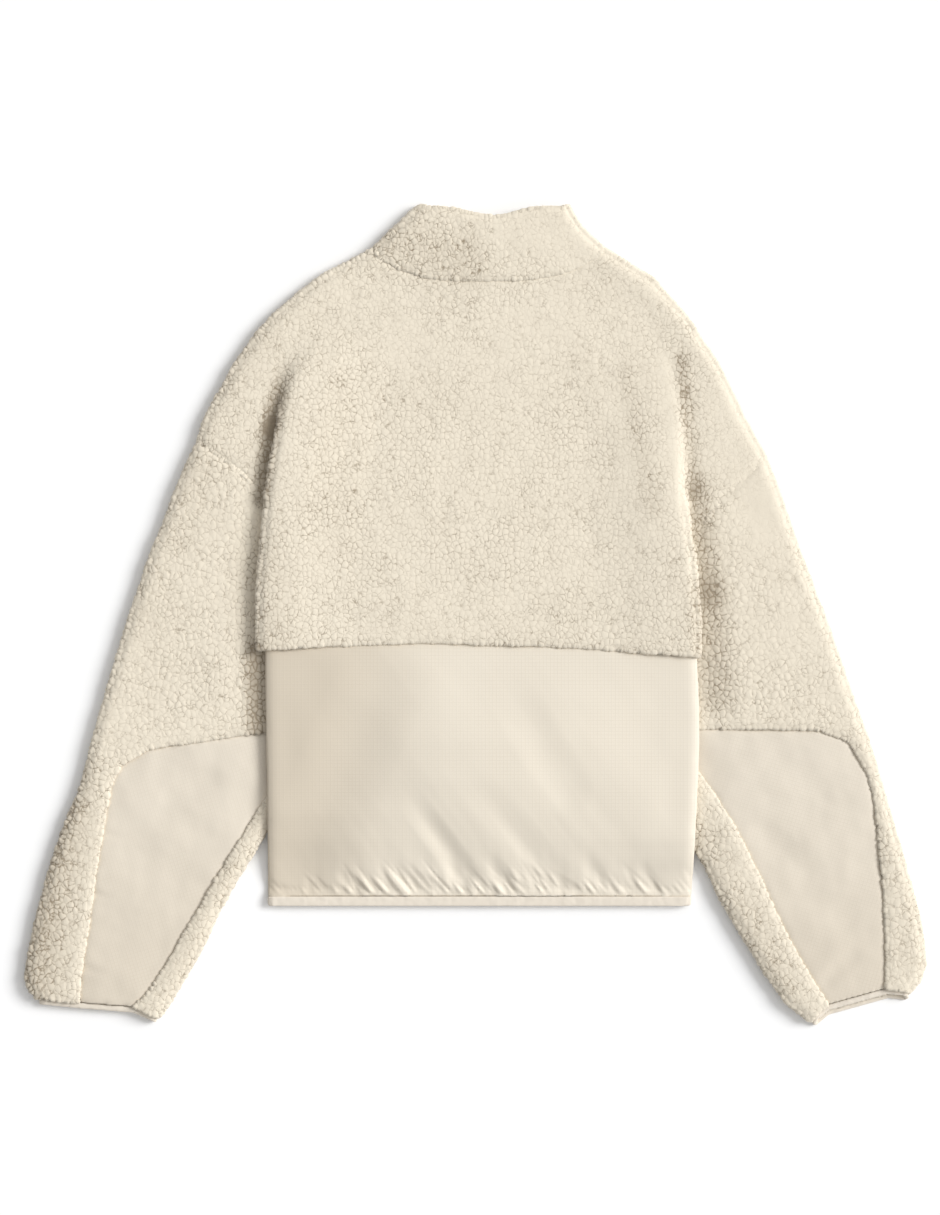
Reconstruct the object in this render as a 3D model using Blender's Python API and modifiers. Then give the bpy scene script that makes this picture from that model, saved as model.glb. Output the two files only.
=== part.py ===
"""Sherpa jacket laid flat, face down, with a fleece upper body and woven lower body and forearm patches.

The frame has +X to the right of the back as it is seen, +Y towards the collar and +Z up from the surface.
The tables are in millimetres. Every wall is an open sheet of cloth that Solidify thickens inwards.
"""
import math

import bmesh
import bpy
from mathutils import Vector

MM = 0.001                # metres in a millimetre
FLEECE = 5.0              # fleece wall, knitted ground and pile together
WOVEN = 3.0               # lined ripstop wall
BINDING = 2.6             # folded binding
SEAM = 0.3                # gap between two pieces that are sewn together

BODY_TOP = 12.9           # top of the yoke where both layers lie flat
BODY_CROWN = 21.5         # top of the yoke at the lower seam, where the body stands up from the fronts
CROWN_START = 240.0       # y from which the yoke rises to its crown
CROWN_RUN = 240.0         # distance over which it rises
SHOULDER_TOP = 13.9       # top of a shoulder or sleeve where both layers lie flat
VALLEY_TOP = 11.6         # top of the sleeve where the body's edge lies on it
EDGE_UNDER = 12.2         # underside of the body's edge where it lies on the sleeve
YOKE_EDGE_RADIUS = 6.7    # half the height of the folded fleece edge
LOWER_EDGE_RADIUS = 4.2   # half the height of the folded woven edge
FOLD_DEPTH = 18.0         # how far the side fold tucks in behind the body's edge
TUCK_TURN = 1.5           # length of the turn at the bottom of that tuck
VALLEY_REACH = 10.0       # how far outside the body's edge a shallow fold's valley lies
RAMP_FULL = 0.3           # strength at which a fold is a full ramp
TUCK_START = 0.5          # strength from which a fold tucks in behind the edge
WRAP = 5.0                # strip of the yoke past the shoulder's fold, on the underside
CENTRE_X = 8.0            # middle of the neck
MIDDLE_COLUMNS = 8        # columns of the yoke between its two ridges
GATHER_COLUMNS = 56       # two columns for each of the 28 gathers at the hem
GATHER_INSET = 20.0       # distance in from the side edges where the gathers start
CUFF_BINDING_WIDTH = 5.0
PATCH_SINK = 2.6          # how much lower than the fleece a forearm patch's seams lie
PATCH_CROWN = 0.6         # how much its middle rises above them
CUFF_SQUASH = 0.64        # height of the cuff's binding as a share of the sleeve's
CUFF_LIP_LEFT = 0.5       # how far the underside of the left cuff shows past its top
CUFF_LIP_RIGHT = 5.0      # and of the right cuff, which is turned a little
VALLEY_FLAT = 4.0         # how far out from the body's edge the valley is flat
VALLEY_BANK = 30.0        # distance over which the sleeve rises out of it
NECK_FRONT_Y = 255.0      # lowest point of the front neckline
NECK_BOW = 72.0           # how far the front neckline bows down from the shoulder
NECK_START = 0.04         # share of that line that the fold of the shoulder takes
UNDERARM_INSET = 21.0     # corner of a front at the underarm, in from the body's edge
UNDERARM_Y = 22.0
# y where a front starts to rise onto the sleeve's tuck, and over what distance
FRONT_RISE = (23.0, 22.0)
FRONT_STEPS = (0.0, 0.04, 0.09, 0.16, 0.23, 0.32, 0.45, 0.6, 0.8, 1.0)   # share from the side to the zip
LOWER_SEAM_LEVEL = -28.0  # middle level of the seam below the yoke
HEM_INSET = 20.0          # how far the hem's binding runs in under the body before its next point
HEM_RADIUS = 4.1          # half the height of the hem's binding

ZIP_CENTRE = 3.7
ZIP_HALF_GAP = 7.3        # from the zip's middle to a front's edge
ZIP_TOP = 358             # y of the zip's upper end
ZIP_ROWS = (-180, -100, -65, -50, -35, -20, 60, 160, 260)       # y of the zip's points between its ends
ZIP_LOW_Z = 0.8           # underside of the tape between the woven fronts
ZIP_HIGH_Z = 4.0          # underside of the tape between the fleece fronts
ZIP_STEP = (-20.0, 40.0)  # y where it starts to come down, and over what distance
TAPE_WALL = 1.0
CHAIN_HALF = 2.5
CHAIN_WALL = 1.6
SLIDER_Y = 350
SLIDER = (9.0, 13.0, 3.2)       # width, length, height
RAIL_SLOT = (6.0, 1.8)    # width and depth of the channel that holds the pull
PULL = (5.4, 17.0, 1.2)   # width, length, thickness
PULL_AXIS_Z = 1.0

# Ridge inside each side edge, where the body lies on the tucked edge of the sleeve.
# distance in from the edge, share of the full height
RIDGE = ((6.7, 1.0), (20.0, 1.0), (34.0, 0.87), (48.0, 0.6), (66.0, 0.27), (90.0, 0.0))
FRONT_RIDGE = ((20.0, 1.0), (33.0, 0.93), (44.0, 0.6), (56.0, 0.22), (72.0, 0.0))  # for the fronts

# Rows of the yoke from the neck seam to the lower seam.
# centre_y, left edge_x, left x, y, right edge_x, right x, y, spread, left fold, right fold
YOKE_ROWS = (
    (308, -62, -93, 336, 89, 118, 337, 0.50, 0.00, 0.00),
    (299, -84, -120, 322, 112, 141, 322, 0.62, 0.00, 0.00),
    (288, -104, -144, 308, 132, 163, 308, 0.75, 0.00, 0.00),
    (274, -122, -165, 292, 149, 178, 292, 0.90, 0.00, 0.00),
    (257, -141, -184, 276, 163, 193, 275, 1.00, 0.00, 0.00),
    (239, -155, -203, 254, 174, 208, 253, 1.00, 0.18, 0.00),
    (218, -167, -220, 231, 183, 223, 231, 1.00, 0.42, 0.10),
    (198, -175, -233, 207, 187, 235, 207, 1.00, 0.62, 0.20),
    (178, -179, -246, 184, 189, 247, 182, 1.00, 0.78, 0.30),
    (156, -183, -255, 159, 190, 267, 145, 1.00, 0.88, 0.40),
    (139, -186, -234, 146, 190, 255, 134, 1.00, 0.95, 0.50),
    (125, -188, -216, 133, 190, 242, 121, 1.00, 1.00, 0.58),
    (110, -190, -203, 119, 191, 224, 106, 1.00, 1.00, 0.68),
    (86, -193, -194, 90, 195, 210, 84, 1.00, 1.00, 0.82),
    (57, -196, -189, 58, 200, 198, 57, 1.00, 1.00, 0.95),
    (25, -199, -184, 25, 203, 189, 25, 1.00, 1.00, 1.00),
    (11, -199, -184, 11, 204, 189, 11, 1.00, 1.00, 1.00),
    (-4, -199, -184, -4, 205, 189, -4, 1.00, 1.00, 1.00),
    (-17, -199, -184, -17, 205, 189, -17, 1.00, 1.00, 1.00),
    (-28, -199, -184, -28, 205, 189, -28, 1.00, 1.00, 1.00),
)
SHOULDER_ROW = 9          # last row that ends on the shoulder's fold
UNDERARM_ROW = 15         # last row that ends on the armhole seam
FRONT_ROWS_Y = (255, 250, 243, 235, 225, 214, 203, 190, 175, 158, 140, 125, 110, 86, 57, 25, 11, -4, -17, -28)

# Columns of one side of the yoke, from the ridge outwards: 0-5 top, 6-9 round the edge, 10-12 tuck,
# 13-17 shoulder, 18-22 round the shoulder's fold.
EDGE_TOP, EDGE_UNDERSIDE, TUCK, SHOULDER, WRAP_END = 5, 9, 10, 17, 22

# x, y along the seam between the yoke and the woven lower back
LOWER_SEAM = ((-199, -30), (-110, -25), (-39, -23), (19, -25), (91, -27), (148, -32), (205, -36))

# y of each row, top of the middle, height of the gathers
LOWER_ROWS = (
    (-31, 18.4, 0.0), (-48, 21.2, 0.0), (-78, 24.6, 0.0), (-115, 26.8, 0.0),
    (-151, 26.0, 0.0), (-181, 22.6, 0.0), (-205, 18.4, 0.1), (-223, 14.8, 0.35),
    (-236, 12.2, 0.7), (-247, 10.2, 1.0), (-254, 9.0, 0.9), (-258, 8.4, 0.4),
)
LOWER_RIDGE = ((20.0, 1.0), (50.0, 0.82), (90.0, 0.48), (130.0, 0.16), (160.0, 0.0))    # for the woven back
HEM_Y = -266

# y, share of the lift over the sleeve, for the left and the right side of the lower body
LIFT_LEFT = ((-186, 1.0), (-200, 0.8), (-214, 0.45), (-232, 0.12), (-246, 0.0))
LIFT_RIGHT = ((-208, 1.0), (-218, 0.85), (-228, 0.5), (-240, 0.15), (-250, 0.0))
LOWER_EDGE_LEFT = ((-31, -192), (-66, -192), (-161, -190), (-266, -190))
LOWER_EDGE_RIGHT = ((-31, 203), (-98, 206), (-151, 204), (-234, 200), (-266, 198))

# Armhole seam from the shoulder to the underarm, x, y
ARMHOLE_LEFT = (
    (-255, 159), (-234, 146), (-216, 133), (-203, 119), (-194, 90), (-189, 58), (-187, 31), (-180, 17),
)
ARMHOLE_RIGHT = (
    (267, 145), (255, 134), (242, 121), (224, 106), (210, 84), (198, 57), (192, 31), (186, 17),
)

# Rings of a sleeve above the forearm patch: outer x, y, inner x, y
UPPER_RINGS_LEFT = (
    (-269, 129, -182, 3), (-284, 90, -180, -13), (-300, 48, -176, -28),
    (-315, 5, -170, -46), (-328, -38, -167, -69), (-341, -80, -166, -89),
)
UPPER_RINGS_RIGHT = (
    (279, 114, 188, 2), (293, 73, 186, -14), (308, 32, 181, -30),
    (322, -4, 177, -47), (334, -38, 174, -69), (347, -77, 173, -89),
)
# Rings beside the forearm patch: outer x, y, outer seam x, y, inner seam x, y, inner x, y
PATCH_RINGS_LEFT = (
    (-353, -124, -299, -121, -178, -104, -166, -110), (-358, -144, -325, -136, -178, -122, -167, -129),
    (-364, -163, -335, -156, -181, -142, -171, -150), (-373, -184, -340, -181, -189, -166, -177, -169),
    (-382, -208, -344, -207, -205, -191, -191, -196), (-390, -232, -348, -230, -219, -214, -205, -219),
    (-397, -260, -352, -260, -236, -241, -221, -245), (-404, -285, -356, -288, -249, -264, -235, -270),
    (-409, -310, -360, -312, -264, -289, -247, -297), (-413, -330, -363, -334, -281, -319, -262, -324),
    (-409, -343, -364, -347, -298, -345, -278, -351), (-402, -351, -363, -355, -313, -359, -290, -369),
)
PATCH_RINGS_RIGHT = (
    (360, -112, 313, -103, 186, -103, 173, -109), (365, -128, 343, -115, 188, -122, 174, -130),
    (372, -150, 361, -144, 204, -144, 178, -157), (380, -178, 368, -175, 222, -170, 187, -184),
    (388, -205, 371, -205, 235, -191, 199, -208), (395, -229, 373, -230, 247, -214, 212, -230),
    (402, -255, 376, -257, 261, -241, 226, -259), (408, -278, 377, -282, 274, -270, 241, -286),
    (411, -299, 378, -305, 287, -297, 257, -312), (413, -319, 378, -322, 299, -319, 271, -335),
    (409, -334, 378, -334, 310, -337, 286, -356), (399, -344, 377, -342, 323, -357, 307, -370),
)
RING_STATIONS = 8         # stations across the top of a ring; 2 and 6 lie on the patch's seams
PATCH_OUTER, PATCH_INNER = 2, 6

# Collar from the neck seam to its top edge: left x, y, right x, y
COLLAR_ROWS = (
    (-93, 336, 118, 337), (-78, 351, 106, 347), (-68, 360, 97, 357), (-59, 369, 90, 368), (-50, 376, 86, 376),
)
COLLAR_TOP = ((-50, 376), (-23, 373), (-5, 368), (15, 365), (32, 367), (51, 373), (86, 376))
COLLAR_HALF_HEIGHT = 6.9
COLLAR_FRONT_DROP = 2.0   # how much lower the collar's front layer ends than its back

FLEECE_LOOK = ("fleece", (0.84, 0.775, 0.63, 1.0), 0.95, 0.0)
WOVEN_LOOK = ("ripstop", (0.768, 0.701, 0.591, 1.0), 0.6, 0.0)
BINDING_LOOK = ("binding", (0.871, 0.791, 0.686, 1.0), 0.7, 0.0)
ZIP_LOOK = ("zip_tape", (0.80, 0.74, 0.64, 1.0), 0.6, 0.0)
METAL_LOOK = ("zip_metal", (0.72, 0.68, 0.60, 1.0), 0.35, 0.6)


def clamp(value):
    """Keeps a share between 0 and 1."""
    return min(max(value, 0.0), 1.0)


def smooth(value):
    """Eases a share in and out."""
    value = clamp(value)
    return value * value * (3.0 - 2.0 * value)


def mix(first, second, share):
    """Goes from the first value to the second."""
    return first + (second - first) * share


def read(table, key):
    """Reads a table of key, value pairs between its rows, whichever way its keys run."""
    rows = sorted(table)
    if key <= rows[0][0]:
        return rows[0][1]
    for (low, low_value), (high, high_value) in zip(rows, rows[1:]):
        if key <= high:
            return mix(low_value, high_value, (key - low) / (high - low))
    return rows[-1][1]


def material(look):
    """Makes or finds the material of a look."""
    name, colour, roughness, metallic = look
    found = bpy.data.materials.get(name)
    if found:
        return found
    made = bpy.data.materials.new(name)
    made.use_nodes = True
    shader = made.node_tree.nodes["Principled BSDF"]
    shader.inputs["Base Color"].default_value = colour
    shader.inputs["Roughness"].default_value = roughness
    shader.inputs["Metallic"].default_value = metallic
    return made


def add_object(name, bm, look, collection):
    """Turns a bmesh into a smooth named object."""
    mesh = bpy.data.meshes.new(name)
    bm.to_mesh(mesh)
    bm.free()
    mesh.shade_smooth()
    mesh.materials.append(material(look))
    made = bpy.data.objects.new(name, mesh)
    collection.objects.link(made)
    return made


def cloth(name, rows, wall, look, collection, keep=None, ring=False, flip=False):
    """Builds a wall of cloth from rows of outer points in millimetres.

    keep says which faces stay, by row and column. A ring's last column joins its first. flip turns the outer
    side round. The wall grows inwards from the points.
    """
    row_count = len(rows)
    column_count = len(rows[0])
    bm = bmesh.new()
    bmesh.ops.create_grid(bm, x_segments=column_count - 1, y_segments=row_count - 1, size=0.5)
    place = {}
    for vertex in bm.verts:
        column = round((vertex.co.x + 0.5) * (column_count - 1))
        row = round((vertex.co.y + 0.5) * (row_count - 1))
        place[vertex] = (row, column)
    if keep:
        dropped = []
        for face in bm.faces:
            row = min(place[vertex][0] for vertex in face.verts)
            column = min(place[vertex][1] for vertex in face.verts)
            if not keep(row, column):
                dropped.append(face)
        bmesh.ops.delete(bm, geom=dropped, context="FACES")
    for vertex in bm.verts:
        row, column = place[vertex]
        vertex.co = Vector(rows[row][column]) * MM
    if ring:
        bmesh.ops.remove_doubles(bm, verts=bm.verts, dist=0.01 * MM)
    if flip:
        bmesh.ops.reverse_faces(bm, faces=bm.faces)
    made = add_object(name, bm, look, collection)
    thickness = made.modifiers.new("wall", "SOLIDIFY")
    thickness.thickness = wall * MM
    thickness.offset = -1.0
    thickness.use_even_offset = False
    thickness.use_quality_normals = True
    return made


def arc(centre, outward, radius, middle_z, angles):
    """Points round a folded edge, from 90 degrees on top to -90 below."""
    points = []
    for angle in angles:
        reach = radius * math.cos(math.radians(angle))
        height = middle_z + radius * math.sin(math.radians(angle))
        points.append(Vector((centre.x + outward.x * reach, centre.y + outward.y * reach, height)))
    return points


def ridge(inward):
    """Share of the ridge's height at a distance in from the body's edge."""
    return read(RIDGE, inward)


def shoulder_top(edge_x, sign, x, fold):
    """Top of the shoulder or sleeve, which sinks into the valley beside the body's edge."""
    outward = sign * (x - edge_x)
    level = mix(VALLEY_TOP, SHOULDER_TOP, smooth((outward - VALLEY_FLAT) / VALLEY_BANK))
    return mix(SHOULDER_TOP, level, fold)


def lower_seam_y(x):
    """The seam below the yoke."""
    return read(LOWER_SEAM, x)


def body_top(index):
    """Top of the yoke's middle in a row."""
    return mix(BODY_TOP, BODY_CROWN, smooth((CROWN_START - YOKE_ROWS[index][0]) / CROWN_RUN))


class YokeSide:
    """One side of the yoke's rows, measured outwards from its ridge."""

    def __init__(self, sign):
        self.sign = sign
        offset = 1 if sign < 0 else 4
        self.edges = [row[offset] for row in YOKE_ROWS]
        self.ends = [Vector((row[offset + 1], row[offset + 2])) for row in YOKE_ROWS]
        self.folds = [row[8 if sign < 0 else 9] for row in YOKE_ROWS]
        self.normals = [self.inward(index) for index in range(SHOULDER_ROW + 1)]

    def inward(self, index):
        """Direction in from the shoulder's fold."""
        before = self.ends[max(index - 1, 0)]
        after = self.ends[min(index + 1, SHOULDER_ROW)]
        along = (after - before).normalized()
        return Vector((-along.y, along.x)) * (1 if self.sign < 0 else -1)

    def end(self, index):
        """Last point on top of a row: the top of the shoulder's fold, or the armhole seam."""
        if index <= SHOULDER_ROW:
            return self.ends[index] + self.normals[index] * (SHOULDER_TOP / 2)
        return self.ends[index]

    def row_y(self, index, x):
        """y of a row at a given x."""
        centre = YOKE_ROWS[index][0]
        if index > UNDERARM_ROW:
            top = YOKE_ROWS[UNDERARM_ROW][0]
            share = (top - centre) / (top - YOKE_ROWS[-1][0])
            return mix(top, lower_seam_y(x), share)
        end = self.end(index)
        reach = clamp((x - CENTRE_X) / (end.x - CENTRE_X))
        power = max(2.0, 3.0 - 0.3 * index)
        return mix(centre, end.y, reach ** power)

    def flat_column(self, column, start, reach, level):
        """Distance out from the edge and height of a column where there is no fold."""
        share = (column - EDGE_TOP) / (SHOULDER - EDGE_TOP)
        return mix(start, reach, share), mix(level, SHOULDER_TOP, smooth(share))

    def ramp_column(self, column, reach, fold, level):
        """The same where the fold is a ramp down into a valley."""
        if column <= TUCK + 1:
            share = (column - EDGE_TOP) / (TUCK + 1 - EDGE_TOP)
            crest = mix(level, EDGE_UNDER + 2 * YOKE_EDGE_RADIUS, fold)
            bottom = shoulder_top(0.0, 1, VALLEY_REACH, fold)
            return mix(-YOKE_EDGE_RADIUS, VALLEY_REACH, share), mix(crest, bottom, smooth(share))
        outward = mix(VALLEY_REACH, reach, (column - TUCK - 1) / (SHOULDER - TUCK - 1))
        return outward, shoulder_top(0.0, 1, outward, fold)

    def tuck_column(self, column, reach):
        """The same where the cloth goes round the edge, back under the body and out along the shoulder."""
        if column <= EDGE_UNDERSIDE:
            angle = math.radians(90.0 - 45.0 * (column - EDGE_TOP))
            radius = YOKE_EDGE_RADIUS
            return radius * (math.cos(angle) - 1.0), EDGE_UNDER + radius * (1.0 + math.sin(angle))
        turn = ((FOLD_DEPTH - TUCK_TURN, EDGE_UNDER), (FOLD_DEPTH, mix(EDGE_UNDER, VALLEY_TOP, 0.5)),
                (FOLD_DEPTH - TUCK_TURN, VALLEY_TOP))
        if column <= TUCK + 2:
            inward, height = turn[column - TUCK]
            return -inward, height
        outward = mix(TUCK_TURN - FOLD_DEPTH, reach, (column - TUCK - 2) / (SHOULDER - TUCK - 2))
        return outward, shoulder_top(0.0, 1, outward, 1.0)

    def column(self, index, column):
        """x and z of a column from the ridge to the end of the top."""
        edge = self.edges[index]
        fold = self.folds[index]
        spread = YOKE_ROWS[index][7]
        level = body_top(index)
        crest = EDGE_UNDER + 2 * YOKE_EDGE_RADIUS
        if column <= EDGE_TOP:
            inward = RIDGE[EDGE_TOP - column][0]
            return edge - self.sign * inward * spread, mix(level, crest, ridge(inward) * fold)
        reach = self.sign * (self.end(index).x - edge)
        flat = self.flat_column(column, -YOKE_EDGE_RADIUS * spread, reach, level)
        ramp = self.ramp_column(column, reach, fold, level)
        tuck = self.tuck_column(column, reach)
        tucked = clamp((fold - TUCK_START) / (1.0 - TUCK_START)) ** 2
        folded = clamp(fold / RAMP_FULL)
        outward, height = (mix(flat[i], mix(ramp[i], tuck[i], tucked), folded) for i in (0, 1))
        return edge + self.sign * outward, height

    def points(self, index):
        """All points of one side of a row, from the ridge outwards."""
        points = []
        for column in range(SHOULDER + 1):
            if index > UNDERARM_ROW and column >= TUCK:
                x = self.edges[index] - self.sign * (FOLD_DEPTH - SEAM)
                points.append(Vector((x, self.row_y(index, x), EDGE_UNDER)))
                continue
            x, z = self.column(index, column)
            points.append(Vector((x, self.row_y(index, x), z)))
        radius = SHOULDER_TOP / 2
        if index <= SHOULDER_ROW:
            inward = self.normals[index]
            centre = self.ends[index] + inward * radius
            points += arc(centre, -inward, radius, radius, (45, 0, -45, -90))
            strip = centre + inward * WRAP
            points.append(Vector((strip.x, strip.y, 0.0)))
        else:
            points += [points[-1]] * (WRAP_END - SHOULDER)
        return points


LEFT = YokeSide(-1)
RIGHT = YokeSide(1)


def make_yoke(collection):
    """Fleece upper back, with the deep fold beside each sleeve."""
    rows = []
    for index in range(len(YOKE_ROWS)):
        left = LEFT.points(index)
        right = RIGHT.points(index)
        middle = []
        for step in range(1, MIDDLE_COLUMNS):
            x = mix(left[0].x, right[0].x, step / MIDDLE_COLUMNS)
            side = LEFT if x < CENTRE_X else RIGHT
            middle.append(Vector((x, side.row_y(index, x), body_top(index))))
        rows.append(left[::-1] + middle + right)
    width = len(rows[0])

    def keep(row, column):
        outward = max(WRAP_END - column, column + 1 - (width - 1 - WRAP_END))
        if outward > SHOULDER:
            return row < SHOULDER_ROW
        if outward > TUCK:
            return row < UNDERARM_ROW
        return True

    return cloth("back_yoke", rows, FLEECE, FLEECE_LOOK, collection, keep=keep, flip=True)


def lower_lift(side, y):
    """Height of the underside of the lower body's edge."""
    return EDGE_UNDER * read(LIFT_LEFT if side.sign < 0 else LIFT_RIGHT, y)


def lower_edge(side, y):
    """x of the lower body's edge."""
    return read(LOWER_EDGE_LEFT if side.sign < 0 else LOWER_EDGE_RIGHT, y)


def lower_side(side, y):
    """One side of a row of the woven lower back, from the top round the edge to the side seam, as x and z."""
    edge = lower_edge(side, y)
    under = lower_lift(side, y)
    radius = LOWER_EDGE_RADIUS
    points = [(edge - side.sign * GATHER_INSET, under + 2 * radius)]
    for angle in (90, 45, 0, -45, -90):
        reach = radius * math.cos(math.radians(angle))
        height = under + radius + radius * math.sin(math.radians(angle))
        points.append((edge - side.sign * (radius - reach), height))
    points.append((edge - side.sign * (FOLD_DEPTH - SEAM), under))
    return points


def soft_folds(x, y):
    """Broad shallow folds of the woven back, running up to the left."""
    across = (x + 0.7 * y) / 150.0
    down = (x - 1.6 * y) / 210.0
    return 0.45 * math.sin(2 * math.pi * across) + 0.35 * math.sin(2 * math.pi * down + 1.1)


def gather(column, x):
    """Height of one column of the hem's gathers, strongest in the middle."""
    strength = 0.55 + 0.3 * math.sin(column * 1.9) + 0.25 * math.exp(-((x - 5.0) / 90.0) ** 2)
    return strength if column % 2 else -strength


def make_back_lower(collection):
    """Woven lower back, gathered onto the hem binding."""
    rows = []
    for index, (row_y, top, gathers) in enumerate(LOWER_ROWS):
        left = lower_side(LEFT, row_y)
        right = lower_side(RIGHT, row_y)
        middle = []
        for step in range(1, GATHER_COLUMNS):
            x = mix(left[0][0], right[0][0], step / GATHER_COLUMNS)
            side = LEFT if x < CENTRE_X else RIGHT
            inward = -side.sign * (x - lower_edge(side, row_y))
            crest = lower_lift(side, row_y) + 2 * LOWER_EDGE_RADIUS
            fade = smooth(step / 4) * smooth((GATHER_COLUMNS - step) / 4)
            relief = soft_folds(x, row_y) * smooth(index / 2) + gathers * gather(step, x)
            middle.append((x, mix(top, crest, read(LOWER_RIDGE, inward)) + relief * fade))
        row = []
        for x, z in left[::-1] + middle + right:
            row.append(Vector((x, lower_row_y(index, x), z)))
        rows.append(row)
    return cloth("back_lower", rows, WOVEN, WOVEN_LOOK, collection, flip=True)


def lower_row_y(index, x):
    """y of a row of the woven panels; the first rows follow the seam below the yoke."""
    if index == 0:
        return lower_seam_y(x) - SEAM * 1.5
    return LOWER_ROWS[index][0] + smooth(1 - index / 4) * (lower_seam_y(x) - LOWER_SEAM_LEVEL)


def front_lift(side, x, edge, rise):
    """Height of a front's underside over the tucked edge of the sleeve."""
    return EDGE_UNDER * rise * read(FRONT_RIDGE, -side.sign * (x - edge))


def zip_edge(side):
    """x of a front's edge at the zip."""
    return ZIP_CENTRE + side.sign * ZIP_HALF_GAP


def neck_front_curve(side, share, lift=0.0):
    """Front neckline, from the shoulder to the zip."""
    start = side.end(0)
    finish = Vector((zip_edge(side), NECK_FRONT_Y))
    bend = start + side.normals[0] * NECK_BOW
    point = start * (1 - share) ** 2 + bend * 2 * share * (1 - share) + finish * share ** 2
    return point + Vector((0.0, lift))


def front_side_end(side, index):
    """End of a front's row at the shoulder, armhole or side seam."""
    radius = SHOULDER_TOP / 2
    if index <= SHOULDER_ROW:
        return side.ends[index] + side.normals[index] * (radius + WRAP + SEAM * 1.5)
    if index < UNDERARM_ROW:
        return side.ends[index]
    if index == UNDERARM_ROW:
        return Vector((side.edges[index] - side.sign * UNDERARM_INSET, UNDERARM_Y))
    clear = 2.0 if index == UNDERARM_ROW + 1 else 0.0
    x = side.edges[index] - side.sign * (FOLD_DEPTH + SEAM + clear)
    return Vector((x, side.row_y(index, x)))


def make_front_upper(name, side, collection):
    """Fleece front, from the shoulder and armhole to the woven lower front."""
    rows = []
    for index, front_y in enumerate(FRONT_ROWS_Y):
        end = front_side_end(side, index)
        zip_x = zip_edge(side)
        rise = smooth((FRONT_RISE[0] - front_y) / FRONT_RISE[1])
        row = []
        for share in FRONT_STEPS:
            if index == 0:
                point = neck_front_curve(side, mix(NECK_START, 1.0, share))
            else:
                bend = Vector((mix(end.x, zip_x, 0.2), front_y))
                finish = Vector((zip_x, front_y))
                point = end * (1 - share) ** 2 + bend * 2 * share * (1 - share) + finish * share ** 2
                straight = end + (finish - end) * share
                point = point + (straight - point) * smooth((index - 3) / 8)
            if index > UNDERARM_ROW + 1:
                point.y = side.row_y(index, point.x)
            z = front_lift(side, point.x, side.edges[index], rise)
            row.append(Vector((point.x, point.y, z)))
        rows.append(row)
    return cloth(name, rows, FLEECE, FLEECE_LOOK, collection, flip=side.sign > 0)


def make_front_lower(name, side, collection):
    """Woven lower front."""
    rows = []
    for index, (row_y, _, _) in enumerate(LOWER_ROWS):
        edge = lower_edge(side, row_y)
        start = edge - side.sign * (FOLD_DEPTH + SEAM)
        lift = lower_lift(side, row_y) / EDGE_UNDER
        row = []
        for share in FRONT_STEPS:
            x = mix(start, zip_edge(side), share)
            row.append(Vector((x, lower_row_y(index, x), front_lift(side, x, edge, lift))))
        rows.append(row)
    return cloth(name, rows, WOVEN, WOVEN_LOOK, collection, flip=side.sign > 0)


def make_collar(collection):
    """Stand collar, folded flat at both ends of the neck and open at the zip."""
    last = len(COLLAR_ROWS) - 1
    back_shares = [step / 10 for step in range(11)]
    front_shares = (0.06, 0.2, 0.4, 0.6, 0.8, 1.0)
    rows = []
    for index, (left_x, left_y, right_x, right_y) in enumerate(COLLAR_ROWS):
        share = index / last
        folds = []
        for side, x, y in ((LEFT, left_x, left_y), (RIGHT, right_x, right_y)):
            outward = (-side.normals[0]).lerp(Vector((side.sign * 0.95, 0.3)), share).normalized()
            tip = Vector((x, y)) + Vector((0.0, 2 * SEAM * (1 - share)))
            folds.append((side, tip, outward, tip - outward * COLLAR_HALF_HEIGHT))
        left_start = folds[0][3]
        right_start = folds[1][3]
        back = []
        for across in back_shares:
            x = mix(left_start.x, right_start.x, across)
            neck_x = mix(LEFT.end(0).x, RIGHT.end(0).x, across)
            side = LEFT if neck_x < CENTRE_X else RIGHT
            neck_y = side.row_y(0, neck_x) + 2 * SEAM
            top_y = read(COLLAR_TOP, mix(COLLAR_ROWS[last][0], COLLAR_ROWS[last][2], across))
            y = mix(neck_y, top_y, share)
            y_left = mix(LEFT.end(0).y + 2 * SEAM, COLLAR_TOP[0][1], share)
            y_right = mix(RIGHT.end(0).y + 2 * SEAM, COLLAR_TOP[-1][1], share)
            y += (left_start.y - y_left) * (1 - across) ** 4 + (right_start.y - y_right) * across ** 4
            back.append(Vector((x, y, 2 * COLLAR_HALF_HEIGHT)))
        wings = []
        for side, tip, outward, start in folds:
            wing = arc(start, outward, COLLAR_HALF_HEIGHT, COLLAR_HALF_HEIGHT, (45, 0, -45, -90))
            for across in front_shares:
                neck = neck_front_curve(side, across, lift=3 * SEAM)
                top_x = mix(folds[0][3].x if side is LEFT else folds[1][3].x, zip_edge(side), across)
                top = Vector((top_x, read(COLLAR_TOP, top_x) - COLLAR_FRONT_DROP))
                if index < last:
                    top.x = mix(start.x, zip_edge(side), across)
                point = neck.lerp(top, share)
                planned = side.end(0).lerp(Vector((start.x, COLLAR_TOP[0][1] - COLLAR_FRONT_DROP)), share)
                point += (start - planned) * (1 - across) ** 3
                wing.append(Vector((point.x, point.y, 0.0)))
            wings.append(wing)
        rows.append(wings[0][::-1] + back + wings[1])
    return cloth("collar", rows, FLEECE, FLEECE_LOOK, collection)


def sleeve_top(side, x, y):
    """Top of a sleeve at a point, lower beside and under the body."""
    if y > YOKE_ROWS[-1][0]:
        edge = read([(row[0], side.edges[index]) for index, row in enumerate(YOKE_ROWS)], y)
        fold = read([(row[0], side.folds[index]) for index, row in enumerate(YOKE_ROWS)], y)
    else:
        edge = lower_edge(side, y)
        fold = 1.0
    return shoulder_top(edge, side.sign, x, fold)


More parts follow.
